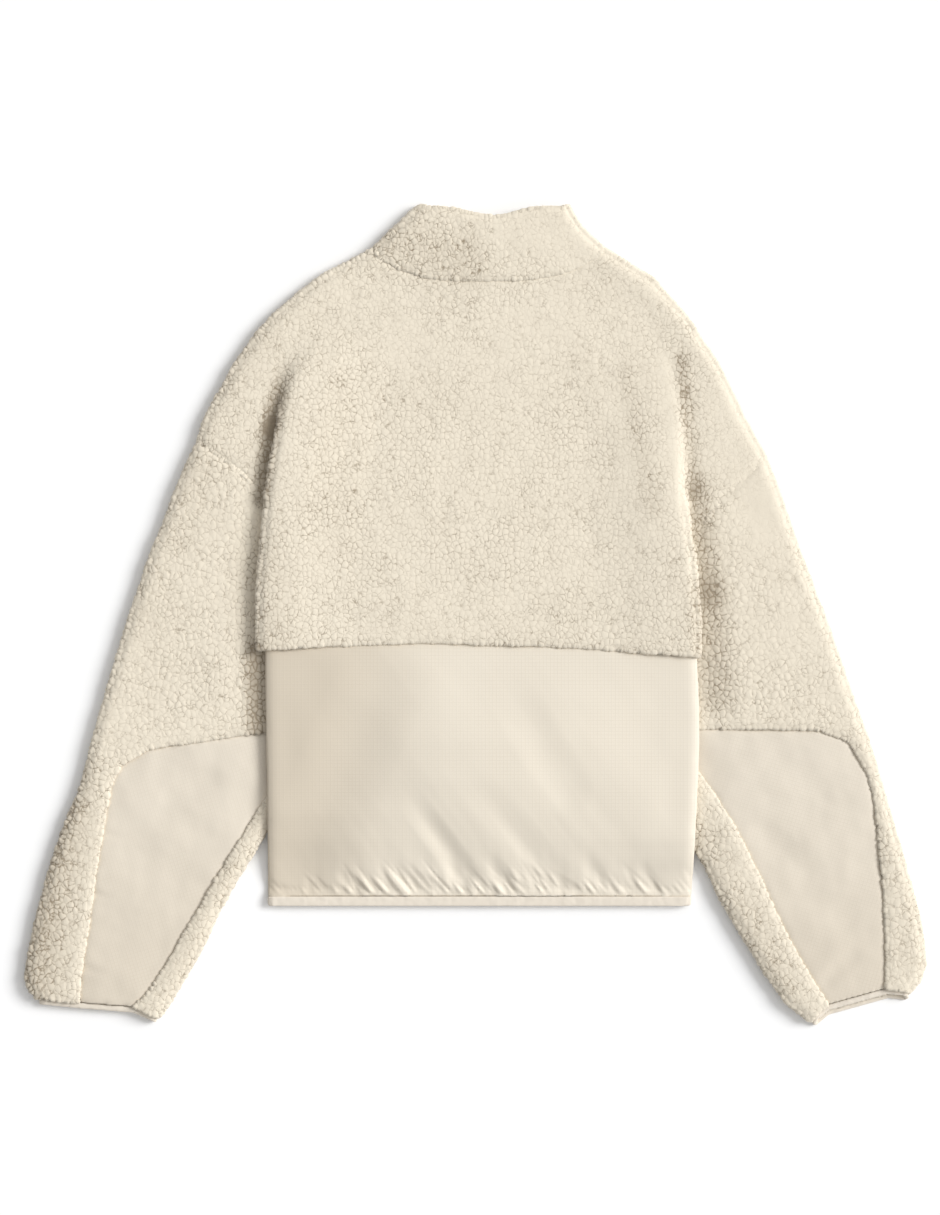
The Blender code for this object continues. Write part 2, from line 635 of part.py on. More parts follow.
class Ring:
    """One ring of a sleeve: plan points across its top, and its two folds."""

    def __init__(self, side, outer, inner, inside, outer_way, inner_way):
        self.side = side
        outer_radius = sleeve_top(side, outer.x, outer.y) / 2
        inner_radius = sleeve_top(side, inner.x, inner.y) / 2
        self.outer_way, self.inner_way = outer_way, inner_way
        first = outer - outer_way * outer_radius
        last = inner - inner_way * inner_radius
        self.stations = [first] + inside + [last]

    def loop(self, shift=Vector((0.0, 0.0)), squash=1.0, lip=Vector((0.0, 0.0))):
        """Closed loop of points: over the top, round the inner fold, back underneath, round the outer."""
        top = []
        for point in self.stations:
            place = point + shift
            top.append(Vector((place.x, place.y, sleeve_top(self.side, point.x, point.y) * squash)))
        under = [Vector((point.x + lip.x, point.y + lip.y, 0.0)) for point in reversed(top)]
        inner_radius = top[-1].z / 2
        outer_radius = top[0].z / 2
        inner = arc(top[-1], self.inner_way, inner_radius, inner_radius, (45, 0, -45))
        outer = arc(top[0], self.outer_way, outer_radius, outer_radius, (-45, 0, 45))
        for share, point in zip((0.25, 0.5, 0.75), inner):
            point += Vector((lip.x, lip.y, 0.0)) * share
        for share, point in zip((0.75, 0.5, 0.25), outer):
            point += Vector((lip.x, lip.y, 0.0)) * share
        return top + inner + under + outer + [top[0].copy()]


def armhole_ring(side, seam):
    """First ring of a sleeve, just off the armhole seam."""
    points = [Vector(point) for point in seam]
    shifted = []
    for index, point in enumerate(points):
        before = points[max(index - 1, 0)]
        after = points[min(index + 1, len(points) - 1)]
        along = (after - before).normalized()
        away = Vector((along.y, -along.x)) * (1 if side.sign < 0 else -1)
        shifted.append(point + away * SEAM * (3.0 if index < 2 else 1.7))
    way = Vector((-0.6 * side.sign, -0.8))
    return Ring(side, shifted[0], shifted[-1], shifted[1:-1], -side.normals[SHOULDER_ROW], way)


def sleeve_rings(side, seam, upper, beside_patch):
    """All rings of a sleeve from the armhole to the cuff."""
    lower_rings = []
    for row in beside_patch:
        outer, seam_outer, seam_inner, inner = (Vector(row[first:first + 2]) for first in (0, 2, 4, 6))
        outer_way = (outer - seam_outer).normalized()
        inner_way = (inner - seam_inner).normalized()
        start = outer - outer_way * sleeve_top(side, outer.x, outer.y) / 2
        inside = [(start + seam_outer) / 2]
        for step in range(PATCH_INNER - PATCH_OUTER + 1):
            inside.append(seam_outer.lerp(seam_inner, step / (PATCH_INNER - PATCH_OUTER)))
        lower_rings.append(Ring(side, outer, inner, inside, outer_way, inner_way))
    first = armhole_ring(side, seam)
    rings = [first]
    for index, row in enumerate(upper, start=1):
        share = index / (len(upper) + 1)
        outer, inner = Vector(row[:2]), Vector(row[2:])
        outer_way = (outer - inner).normalized()
        inner_way = Vector((-side.sign, -0.25)).normalized()
        start = outer - outer_way * sleeve_top(side, outer.x, outer.y) / 2
        across = inner - inner_way * sleeve_top(side, inner.x, inner.y) / 2 - start
        inside = []
        for station in range(1, RING_STATIONS - 1):
            place = []
            for ring in (first, lower_rings[0]):
                chord = ring.stations[-1] - ring.stations[0]
                offset = ring.stations[station] - ring.stations[0]
                along = offset.dot(chord) / chord.length_squared
                aside = (offset - chord * along).dot(Vector((-chord.y, chord.x)).normalized())
                place.append((along, aside))
            along = mix(place[0][0], place[1][0], share)
            aside = mix(place[0][1], place[1][1], share) * (1 - share)
            inside.append(start + across * along + Vector((-across.y, across.x)).normalized() * aside)
        rings.append(Ring(side, outer, inner, inside, outer_way, inner_way))
    return rings + lower_rings


def make_sleeve(label, side, seam, upper, beside_patch, lip_length, collection):
    """Fleece sleeve with a window for the forearm patch, the woven patch and the cuff's binding."""
    rings = sleeve_rings(side, seam, upper, beside_patch)
    first_patch_ring = len(rings) - len(beside_patch)
    last = rings[-1]
    across = (last.stations[-1] - last.stations[0]).normalized()
    down = Vector((across.y, -across.x)) * (1 if side.sign < 0 else -1)
    lip = down * lip_length
    loops = [ring.loop(lip=lip if ring is last else Vector((0.0, 0.0))) for ring in rings]

    def keep(row, column):
        return row < first_patch_ring or not PATCH_OUTER <= column < PATCH_INNER

    cloth("sleeve_" + label, loops, FLEECE, FLEECE_LOOK, collection, keep=keep, ring=True, flip=side.sign < 0)

    patch = []
    for index, ring in enumerate(rings[first_patch_ring:]):
        outer, inner = ring.stations[PATCH_OUTER], ring.stations[PATCH_INNER]
        trim = (inner - outer).normalized() * SEAM * 1.5
        shift = down * SEAM * 2 if index == 0 else Vector((0.0, 0.0))
        row = []
        for step in range(PATCH_INNER - PATCH_OUTER + 1):
            share = step / (PATCH_INNER - PATCH_OUTER)
            point = (outer + trim).lerp(inner - trim, share) + shift
            crown = PATCH_CROWN * math.sin(math.pi * share)
            row.append(Vector((point.x, point.y, sleeve_top(side, point.x, point.y) - PATCH_SINK + crown)))
        patch.append(row)
    cloth("forearm_patch_" + label, patch, WOVEN, WOVEN_LOOK, collection, flip=side.sign < 0)

    steps = (3 * SEAM, CUFF_BINDING_WIDTH)
    binding = [last.loop(shift=down * step, squash=CUFF_SQUASH, lip=lip) for step in steps]
    cloth("cuff_binding_" + label, binding, BINDING, BINDING_LOOK, collection, ring=True, flip=side.sign < 0)


def make_hem_binding(collection):
    """Binding round the hem, open at the zip."""
    radius = HEM_RADIUS
    rows = []
    for y in (LOWER_ROWS[-1][0] - 2 * SEAM, (LOWER_ROWS[-1][0] + HEM_Y) / 2, HEM_Y):
        row = []
        left = lower_edge(LEFT, y)
        right = lower_edge(RIGHT, y)
        for x in (zip_edge(LEFT), mix(zip_edge(LEFT), left, 0.5), left + HEM_INSET):
            row.append(Vector((x, y, 0.0)))
        row += arc(Vector((left + radius, y)), Vector((-1, 0)), radius, radius, (-90, -45, 0, 45, 90))
        for step in range(1, 10):
            row.append(Vector((mix(left + radius, right - radius, step / 10), y, 2 * radius)))
        row += arc(Vector((right - radius, y)), Vector((1, 0)), radius, radius, (90, 45, 0, -45, -90))
        for x in (right - HEM_INSET, mix(zip_edge(RIGHT), right, 0.5), zip_edge(RIGHT)):
            row.append(Vector((x, y, 0.0)))
        rows.append(row)
    return cloth("hem_binding", rows, BINDING, BINDING_LOOK, collection, flip=True)


def zip_z(y):
    """Underside of the zip's tape, higher where the fronts are thicker."""
    return mix(ZIP_HIGH_Z, ZIP_LOW_Z, smooth((ZIP_STEP[0] - y) / ZIP_STEP[1]))


def make_strip(name, left, right, drop, wall, look, collection):
    """A flat strip along the zip, from the hem to the collar."""
    rows = []
    for y in (HEM_Y, *ZIP_ROWS, ZIP_TOP):
        z = zip_z(y) - drop
        rows.append([Vector((left, y, z)), Vector((right, y, z))])
    return cloth(name, rows, wall, look, collection, flip=True)


def box(size, centre):
    """A box in millimetres as a bmesh."""
    bm = bmesh.new()
    bmesh.ops.create_cube(bm, size=1.0)
    bmesh.ops.scale(bm, vec=Vector(size) * MM, verts=bm.verts)
    bmesh.ops.translate(bm, vec=Vector(centre) * MM, verts=bm.verts)
    return bm


def make_zip(collection, cutters):
    """Tapes, chain, slider and the pull that hangs on it."""
    inner = CHAIN_HALF + SEAM
    outer = ZIP_HALF_GAP - SEAM
    make_strip("zip_tape_left", ZIP_CENTRE - outer, ZIP_CENTRE - inner, 0.0, TAPE_WALL, ZIP_LOOK, collection)
    make_strip("zip_tape_right", ZIP_CENTRE + inner, ZIP_CENTRE + outer, 0.0, TAPE_WALL, ZIP_LOOK, collection)
    left, right = ZIP_CENTRE - CHAIN_HALF, ZIP_CENTRE + CHAIN_HALF
    make_strip("zip_chain", left, right, SEAM, CHAIN_WALL, ZIP_LOOK, collection)
    _, length, height = SLIDER
    slot_width, slot_depth = RAIL_SLOT
    base = ZIP_HIGH_Z - SEAM - SEAM - height
    body = box(SLIDER, (ZIP_CENTRE, SLIDER_Y, base + height / 2))
    slider = add_object("zip_slider", body, METAL_LOOK, collection)
    slot = box((slot_width, length * 2, slot_depth * 2), (ZIP_CENTRE, SLIDER_Y, base))
    cutter = add_object("slider_slot", slot, METAL_LOOK, cutters)
    cutter.hide_render = True
    cutter.display_type = "WIRE"
    cut = slider.modifiers.new("slot", "BOOLEAN")
    cut.object = cutter
    cut.operation = "DIFFERENCE"
    _, pull_length, pull_wall = PULL
    middle_y = pull_wall / 2 - pull_length / 2
    bm = box(PULL, (0.0, middle_y, 0.0))
    ends = [edge for edge in bm.edges if abs(edge.verts[0].co.x - edge.verts[1].co.x) > 1.0 * MM]
    rounding = 0.49 * pull_wall * MM
    bmesh.ops.bevel(bm, geom=ends, offset=rounding, affect="EDGES", segments=4, profile=0.5, material=-1)
    pull = add_object("zip_pull", bm, METAL_LOOK, collection)
    pull.location = Vector((ZIP_CENTRE, SLIDER_Y, PULL_AXIS_Z)) * MM


def main():
    """Builds every piece of the jacket."""
    for existing in list(bpy.data.objects):
        bpy.data.objects.remove(existing)
    jacket = bpy.data.collections.new("sherpa_jacket")
    cutters = bpy.data.collections.new("cutters")
    bpy.context.scene.collection.children.link(jacket)
    bpy.context.scene.collection.children.link(cutters)
    make_yoke(jacket)
    make_back_lower(jacket)
    make_front_upper("front_left_upper", LEFT, jacket)
    make_front_upper("front_right_upper", RIGHT, jacket)
    make_front_lower("front_left_lower", LEFT, jacket)
    make_front_lower("front_right_lower", RIGHT, jacket)
    make_collar(jacket)
    make_sleeve("left", LEFT, ARMHOLE_LEFT, UPPER_RINGS_LEFT, PATCH_RINGS_LEFT, CUFF_LIP_LEFT, jacket)
    make_sleeve("right", RIGHT, ARMHOLE_RIGHT, UPPER_RINGS_RIGHT, PATCH_RINGS_RIGHT, CUFF_LIP_RIGHT, jacket)
    make_hem_binding(jacket)
    make_zip(jacket, cutters)


main()
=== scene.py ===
"""Looks of a cream sherpa jacket that lies flat, face down, on a pale floor.

Every cloth piece is a fine skin grown from its own solid, with the pile, folds and weave of the real cloth
as relief and a node material. Sizes are in metres; +X is the right of the back, +Y runs to the collar, +Z is
up.
"""
import logging
import math
from dataclasses import dataclass, field
from enum import Enum

import bmesh
import bpy
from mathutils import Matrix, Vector


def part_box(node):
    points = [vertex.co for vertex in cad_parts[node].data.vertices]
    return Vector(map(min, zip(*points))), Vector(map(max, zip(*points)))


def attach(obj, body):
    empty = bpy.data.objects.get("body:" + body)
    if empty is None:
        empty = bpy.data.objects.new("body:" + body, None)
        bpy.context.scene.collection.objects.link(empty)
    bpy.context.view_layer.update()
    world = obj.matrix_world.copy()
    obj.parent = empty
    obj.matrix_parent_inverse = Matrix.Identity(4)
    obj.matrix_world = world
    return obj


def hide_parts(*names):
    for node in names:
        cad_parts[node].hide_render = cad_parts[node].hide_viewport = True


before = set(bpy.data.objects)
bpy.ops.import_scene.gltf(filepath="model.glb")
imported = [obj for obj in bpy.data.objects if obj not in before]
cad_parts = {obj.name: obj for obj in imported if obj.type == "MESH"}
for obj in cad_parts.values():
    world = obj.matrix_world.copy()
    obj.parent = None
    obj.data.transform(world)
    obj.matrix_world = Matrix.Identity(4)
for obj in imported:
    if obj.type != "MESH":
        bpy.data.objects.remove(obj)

LOG = logging.getLogger("sherpa_jacket")
MM = 0.001
BODY = "jacket"
REST = "rest"             # attribute that keeps each point's place before the relief moves it
CREASE = "crease"         # attribute that says how far the pile opens at each point, and so how much shade the pile's finish paints there
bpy.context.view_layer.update()  # brings the imported solids up to date before any skin is made
WHITE = (1.0, 1.0, 1.0, 1.0)

Socket = bpy.types.NodeSocket
Colour = tuple[float, float, float, float]


def mixed(first: float, second: float, share: float) -> float:
    """Goes from the first value to the second."""
    return first + (second - first) * share


def placed(name: str, data: bpy.types.ID) -> bpy.types.Object:
    """Puts a new object in the scene.

    Args:
        name: the object's name.
        data: its mesh, light or camera.

    Returns:
        The object, at the origin.
    """
    made = bpy.data.objects.new(name, data)
    bpy.context.scene.collection.objects.link(made)
    return made


def meshed(name: str, shape: bmesh.types.BMesh) -> bpy.types.Mesh:
    """Keeps a shape as a mesh and frees it.

    Args:
        name: the mesh's name.
        shape: the shape, which can't be used afterwards.

    Returns:
        The mesh.
    """
    mesh = bpy.data.meshes.new(name)
    shape.to_mesh(mesh)
    shape.free()
    return mesh


def baked(made: bpy.types.Object) -> bpy.types.Mesh:
    """Gives an object the mesh that its modifiers make, in place of them and of its old mesh.

    Args:
        made: the object.

    Returns:
        Its new mesh.
    """
    depsgraph = bpy.context.evaluated_depsgraph_get()
    mesh = bpy.data.meshes.new_from_object(made.evaluated_get(depsgraph), preserve_all_data_layers=True,
                                           depsgraph=depsgraph)
    coarse = made.data
    made.modifiers.clear()
    made.data = mesh
    bpy.data.meshes.remove(coarse)
    return mesh


class Graph:
    """A node tree that is written as formulas. The same formulas serve relief and colour."""

    def __init__(self, tree: bpy.types.NodeTree) -> None:
        """Starts from an empty tree.

        Args:
            tree: the tree of a material, of the world or of a relief group.
        """
        self.tree = tree
        self.tree.nodes.clear()

    def node(self, kind: str, inputs: dict | None = None, **settings: object) -> bpy.types.Node:
        """Adds a node.

        Args:
            kind: Blender's name of the node type.
            inputs: a value or a socket for each named or numbered input.
            settings: properties of the node.

        Returns:
            The new node.
        """
        made = self.tree.nodes.new(kind)
        for name, value in settings.items():
            setattr(made, name, value)
        for key, value in (inputs or {}).items():
            self.put(value, made.inputs[key])
        return made

    def put(self, value: object, target: Socket) -> None:
        """Links a socket to an input, or sets the input to a plain value."""
        if isinstance(value, Socket):
            self.tree.links.new(value, target)
        else:
            target.default_value = value

    def math(self, operation: str, *values: object, clamp: bool = False) -> Socket:
        """One step of arithmetic.

        Args:
            operation: Blender's name of the operation.
            values: numbers or sockets.
            clamp: keeps the result between 0 and 1.

        Returns:
            The result's socket.
        """
        inputs = dict(enumerate(values))
        return self.node("ShaderNodeMath", inputs, operation=operation, use_clamp=clamp).outputs[0]

    def plus(self, first: object, second: object) -> Socket:
        """Sum of two numbers or sockets."""
        return self.math("ADD", first, second)

    def minus(self, first: object, second: object) -> Socket:
        """The first number or socket less the second."""
        return self.math("SUBTRACT", first, second)

    def times(self, first: object, second: object) -> Socket:
        """Product of two numbers or sockets."""
        return self.math("MULTIPLY", first, second)

    def clamped(self, value: object) -> Socket:
        """A value kept between 0 and 1."""
        return self.math("ADD", value, 0.0, clamp=True)

    def vector(self, operation: str, *values: object) -> Socket:
        """One step of vector arithmetic, with the result's vector socket."""
        inputs = dict(enumerate(values))
        return self.node("ShaderNodeVectorMath", inputs, operation=operation).outputs["Vector"]

    def scaled(self, place: Socket, scales: tuple[float, float, float]) -> Socket:
        """Stretches a place by a scale for each axis."""
        return self.vector("MULTIPLY", place, scales)

    def stretched(self, way: object, length: Socket) -> Socket:
        """A way made longer or shorter by a socket's value."""
        inputs = {0: way, "Scale": length}
        return self.node("ShaderNodeVectorMath", inputs, operation="SCALE").outputs["Vector"]

    def dot(self, place: Socket, way: Vector) -> Socket:
        """How far a place lies along a way."""
        inputs = {0: place, 1: tuple(way)}
        return self.node("ShaderNodeVectorMath", inputs, operation="DOT_PRODUCT").outputs["Value"]

    def ramp(self, value: object, low: object, high: object, start: object = 0.0,
             end: object = 1.0) -> Socket:
        """Eases a value from start to end as it goes from low to high."""
        inputs = {"Value": value, "From Min": low, "From Max": high, "To Min": start, "To Max": end}
        return self.node("ShaderNodeMapRange", inputs, interpolation_type="SMOOTHSTEP").outputs["Result"]

    def noise(self, place: Socket, size: float, detail: float = 2.0, rough: float = 0.5) -> bpy.types.Node:
        """Noise with features of a size in metres; its outputs are Fac and Color."""
        inputs = {"Vector": place, "Scale": 1.0 / size, "Detail": detail, "Roughness": rough}
        return self.node("ShaderNodeTexNoise", inputs, noise_dimensions="3D")

    def level(self, place: Socket, size: float, detail: float = 2.0, rough: float = 0.5) -> Socket:
        """The level of that noise, around 0.5."""
        return self.noise(place, size, detail, rough).outputs[0]

    def axes(self, place: Socket) -> tuple[Socket, Socket, Socket]:
        """Splits a place into x, y and z."""
        made = self.node("ShaderNodeSeparateXYZ", {"Vector": place})
        return made.outputs["X"], made.outputs["Y"], made.outputs["Z"]

    def kept(self, name: str, output: str) -> Socket:
        """Reads an attribute that the relief group kept."""
        return self.node("ShaderNodeAttribute", attribute_name=name).outputs[output]

    def blend(self, share: Socket, first: Colour, second: Colour) -> Socket:
        """Goes from the first colour to the second."""
        return self.node("ShaderNodeMix", {0: share, 6: first, 7: second}, data_type="RGBA").outputs[2]

    def bump(self, height: Socket, distance: float, strength: float) -> Socket:
        """Bends the surface's light by a height, where the distance is how far a height of 1 stands up."""
        inputs = {"Height": height, "Distance": distance, "Strength": strength}
        return self.node("ShaderNodeBump", inputs).outputs["Normal"]

    def end(self, kind: str, shader: bpy.types.Node) -> None:
        """Ends the tree with its shader.

        Args:
            kind: Blender's name of the output node.
            shader: the shader's node.
        """
        output = self.node(kind)
        self.put(shader.outputs[0], output.inputs["Surface"])


def new_material(name: str) -> tuple[bpy.types.Material, Graph]:
    """Starts a node material.

    Args:
        name: the material's name.

    Returns:
        The material and the graph of its nodes.
    """
    made = bpy.data.materials.new(name)
    made.use_nodes = True
    return made, Graph(made.node_tree)


@dataclass(frozen=True)
class Fade:
    """How a value eases from one level to another."""

    low: float                      # value at which it starts
    high: float                     # value at which it ends
    start: float = 0.0              # level up to there
    end: float = 1.0                # level from there on

    def level(self, graph: Graph, value: Socket) -> Socket:
        """The level that belongs to a value."""
        return graph.ramp(value, self.low, self.high, self.start, self.end)


@dataclass(frozen=True)
class Patches:
    """Uneven patches: noise eased between two levels."""

    size: float                     # across one patch
    fade: Fade
    detail: float = 2.0
    rough: float = 0.6

    def level(self, graph: Graph, place: Socket) -> Socket:
        """Level of the patches at a place."""
        return self.fade.level(graph, graph.level(place, self.size, self.detail, self.rough))


@dataclass(frozen=True)
class Streaks:
    """Noise drawn out along a slanted way."""

    lean: float                     # how far the way leans to the left for each step up
    pitch: float                    # width of its features
    length: float                   # their length

    def level(self, graph: Graph, place: Socket) -> Socket:
        """Level of the noise at a place, around 0.5."""
        x, y, _ = graph.axes(place)
        across = graph.plus(x, graph.times(y, self.lean))
        spread = graph.node("ShaderNodeCombineXYZ", {"X": across, "Y": y, "Z": self.lean}).outputs[0]
        return graph.level(graph.scaled(spread, (1.0 / self.pitch, 1.0 / self.length, 1.0)), 1.0, 1.5, 0.45)


@dataclass(frozen=True)
class Crease:
    """A line along which the pile opens up in a bend, or lies closed where the strength is negative. On the
    pile the finish also paints shade along it where it opens, and a little painted light where it lies
    closed.
    """

    start: tuple[float, float]
    end: tuple[float, float]
    reach: float                    # distance from the line at which it has no more effect
    strength: float
    taper: float = 0.0              # share of the line over which it fades in from its start

    def level(self, graph: Graph, place: Socket) -> Socket:
        """Effect of the crease at a place.

        Args:
            graph: the tree to write in.
            place: the place at rest.

        Returns:
            The effect's socket, from 0 to the crease's strength.
        """
        start = Vector((*self.start, 0.0))
        way = Vector((*self.end, 0.0)) - start
        flat = graph.vector("SUBTRACT", graph.scaled(place, (1.0, 1.0, 0.0)), tuple(start))
        along = graph.clamped(graph.dot(flat, way / way.length_squared))
        away = graph.vector("SUBTRACT", flat, graph.stretched(tuple(way), along))
        away = graph.node("ShaderNodeVectorMath", {0: away}, operation="LENGTH").outputs["Value"]
        level = graph.ramp(away, 0.0, self.reach, self.strength, 0.0)
        if self.taper > 0.0:
            level = graph.times(level, graph.ramp(along, 0.0, self.taper))
        return level


# Creases of the pile. Besides opening the pile, each positive one paints shade on it, standing in for the
# shade in a fold, a valley or a side turned from the light; each negative one closes the pile and paints it
# a little lighter, as painted light where the light falls.
CREASES_WITH_PAINTED_SHADE = (
    # Painted shade in the valley beside the back's right edge, where the back lies on the sleeve.
    Crease((0.189, 0.235), (0.201, 0.115), 0.013, 1.2),        # beside the right edge of the back
    Crease((0.201, 0.115), (0.214, 0.02), 0.024, 1.5),
    Crease((0.214, 0.02), (0.220, -0.07), 0.030, 1.3),
    # Painted shade in the left fold, under the edge of the back.
    Crease((-0.172, 0.236), (-0.188, 0.172), 0.014, 3.2, 0.9),  # bottom of the left fold
    Crease((-0.188, 0.172), (-0.196, 0.106), 0.013, 2.4),
    # Painted shadow that the body's left edge casts on the sleeve.
    Crease((-0.202, -0.035), (-0.200, -0.105), 0.017, 2.6),    # sleeve beside the body's left edge
    Crease((-0.125, 0.20), (-0.130, 0.08), 0.045, 0.35),       # inside the ridge on the left
    Crease((0.137, 0.225), (0.164, 0.095), 0.015, 0.5),        # inside the ridge on the right
    Crease((0.174, 0.235), (0.187, 0.106), 0.014, -0.9),       # on top of that ridge
    Crease((0.187, 0.106), (0.201, 0.02), 0.010, -0.7),
    Crease((0.235, 0.25), (0.262, 0.10), 0.045, -0.75),        # right shoulder
    Crease((0.262, 0.10), (0.310, -0.03), 0.036, -0.5),
    Crease((0.04, 0.25), (0.14, 0.29), 0.080, -0.4),           # upper right of the back
    Crease((-0.195, 0.28), (-0.235, 0.21), 0.035, 0.35),       # left shoulder
    Crease((-0.25, 0.14), (-0.31, 0.0), 0.035, 0.3),
    Crease((-0.195, 0.05), (-0.19, -0.02), 0.045, 0.45),       # lower left corner of the yoke
    Crease((-0.08, 0.345), (-0.01, 0.325), 0.042, 0.6),        # left half of the collar
    Crease((0.03, 0.35), (0.10, 0.35), 0.035, -0.6),           # right half of the collar
    # Painted shade on the outer strip of the left forearm, on the side away from the light.
    Crease((-0.380, -0.15), (-0.405, -0.33), 0.050, 1.4),      # outer strip of the left forearm
    Crease((0.395, -0.20), (0.400, -0.31), 0.035, 0.3),        # outer strip of the right forearm
    Crease((-0.20, -0.19), (-0.27, -0.34), 0.030, 0.4),        # inner strips
    Crease((0.20, -0.19), (0.28, -0.34), 0.030, 0.4),
)


@dataclass(frozen=True)
class Pile:
    """Pebbled sherpa pile: domed tufts with thin cracks between them."""

    tuft: float = 5.0 * MM          # across one tuft
    squash: tuple[float, float, float] = (1.0, 0.86, 1.0)       # makes the tufts a little longer in y
    uneven: float = 0.9             # how unevenly the tufts are spread
    wander: float = 2.4 * MM        # how far the tufts' outlines wander
    wander_pitch: float = 6.0 * MM
    height: float = 0.7 * MM        # from the bottom of a crack to the top of a tuft
    middle: float = 0.62            # level of a tuft that the relief leaves where the cloth is
    flatness: float = 0.30          # distance from a crack at which a tuft is flat, in tuft widths
    swell: float = 0.45 * MM        # slow rise and fall of the pile
    swell_pitch: float = 24.0 * MM
    fluff: float = 2.1 * MM         # how far the pile grows over an edge of the cloth
    edge_boost: float = 3.0         # how much higher the tufts stand where the cloth turns over an edge
    upright: bool = False           # the tufts grow outwards
    breaks: Patches = Patches(8.0 * MM, Fade(0.36, 0.62, 0.36, 1.0))        # where the cracks break off
    drifts: Patches = Patches(55.0 * MM, Fade(0.30, 0.64, 0.55, 0.95))      # where they are fainter
    opened: float = 0.7             # how much deeper a crack is where the pile opens up
    faintest: float = 0.05          # limits of a crack's strength
    deepest: float = 1.15
    creases: tuple[Crease, ...] = CREASES_WITH_PAINTED_SHADE

    def opening(self, graph: Graph, place: Socket) -> Socket:
        """Sum of the creases at a place."""
        total = graph.plus(0.0, 0.0)
        for crease in self.creases:
            total = graph.plus(total, crease.level(graph, place))
        return total

    def strength(self, graph: Graph, place: Socket, opening: Socket) -> Socket:
        """How deep the cracks are at a place.

        Args:
            graph: the tree to write in.
            place: the place at rest.
            opening: the creases' effect there.

        Returns:
            The strength's socket, from 0 to about 1.
        """
        strength = graph.times(self.breaks.level(graph, place), self.drifts.level(graph, place))
        strength = graph.times(strength, graph.plus(1.0, graph.times(opening, self.opened)))
        return graph.math("MINIMUM", graph.math("MAXIMUM", strength, self.faintest), self.deepest)

    def edge(self, graph: Graph, place: Socket) -> Socket:
        """Distance to the nearest crack, in tuft widths.

        Args:
            graph: the tree to write in.
            place: the place at rest.

        Returns:
            The distance's socket.
        """
        noise = graph.noise(place, self.wander_pitch, 3.0, 0.6).outputs["Color"]
        drift = graph.vector("SUBTRACT", noise, (0.5, 0.5, 0.5))
        drift = graph.scaled(drift, (2.0 * self.wander,) * 3)
        warped = graph.vector("ADD", graph.scaled(place, self.squash), drift)
        inputs = {"Vector": warped, "Scale": 1.0 / self.tuft, "Randomness": self.uneven}
        return graph.node("ShaderNodeTexVoronoi", inputs, voronoi_dimensions="3D",
                          feature="DISTANCE_TO_EDGE").outputs["Distance"]

    def dome(self, graph: Graph, edge: Socket) -> Socket:
        """Height of a tuft at a distance from its crack, from 0 to 1."""
        rest = graph.minus(1.0, graph.math("DIVIDE", edge, self.flatness, clamp=True))
        return graph.minus(1.0, graph.times(rest, rest))

    def relief(self, graph: Graph, place: Socket, opening: Socket) -> Socket:
        """Height of the pile over its middle level, in metres.

        Args:
            graph: the tree to write in.
            place: the place at rest.
            opening: the creases' effect there.

        Returns:
            The height's socket.
        """
        dome = self.dome(graph, self.edge(graph, place))
        tufts = graph.times(graph.minus(dome, self.middle), self.height)
        tufts = graph.times(tufts, self.strength(graph, place, opening))
        slow = graph.minus(graph.level(place, self.swell_pitch), 0.5)
        return graph.plus(tufts, graph.times(slow, 2.0 * self.swell))


@dataclass(frozen=True)
class WovenRelief:
    """What the reliefs of woven cloth share."""

    fluff: float = 0.2 * MM         # how far the cloth's edge grows
    edge_boost: float = 1.0
    upright: bool = True            # both sides of the cloth move up together
    dents: tuple[Crease, ...] = ()  # their strengths are depths in millimetres

    def dented(self, graph: Graph, place: Socket, height: Socket) -> Socket:
        """Presses the dents into a height.

        Args:
            graph: the tree to write in.
            place: the place at rest.
            height: the height without them, in metres.

        Returns:
            The height's socket.
        """
        for dent in self.dents:
            height = graph.minus(height, graph.times(dent.level(graph, place), MM))
        return height


DENTS = (
    Crease((-0.066, -0.158), (-0.008, -0.238), 0.015, 2.2, 0.6),        # folds that run up from the hem
    Crease((-0.018, -0.138), (0.080, -0.248), 0.022, 1.4, 0.6),
    Crease((0.022, -0.050), (0.084, -0.160), 0.026, 1.1, 0.5),
    Crease((-0.128, -0.230), (-0.106, -0.258), 0.008, 1.0, 0.5),        # short ones beside them
    Crease((-0.080, -0.222), (-0.050, -0.258), 0.010, 1.3, 0.5),
    Crease((-0.032, -0.218), (-0.004, -0.258), 0.010, 1.5, 0.5),
    Crease((0.008, -0.214), (0.038, -0.257), 0.011, 1.8, 0.6),
    Crease((0.044, -0.224), (0.066, -0.258), 0.009, 1.4, 0.6),
    Crease((0.096, -0.212), (0.124, -0.258), 0.011, 1.2, 0.6),
    Crease((0.148, -0.222), (0.170, -0.258), 0.009, 1.0, 0.5),
    Crease((-0.072, -0.030), (-0.170, -0.262), 0.045, 2.0, 0.2),        # broad hollow on the left
)


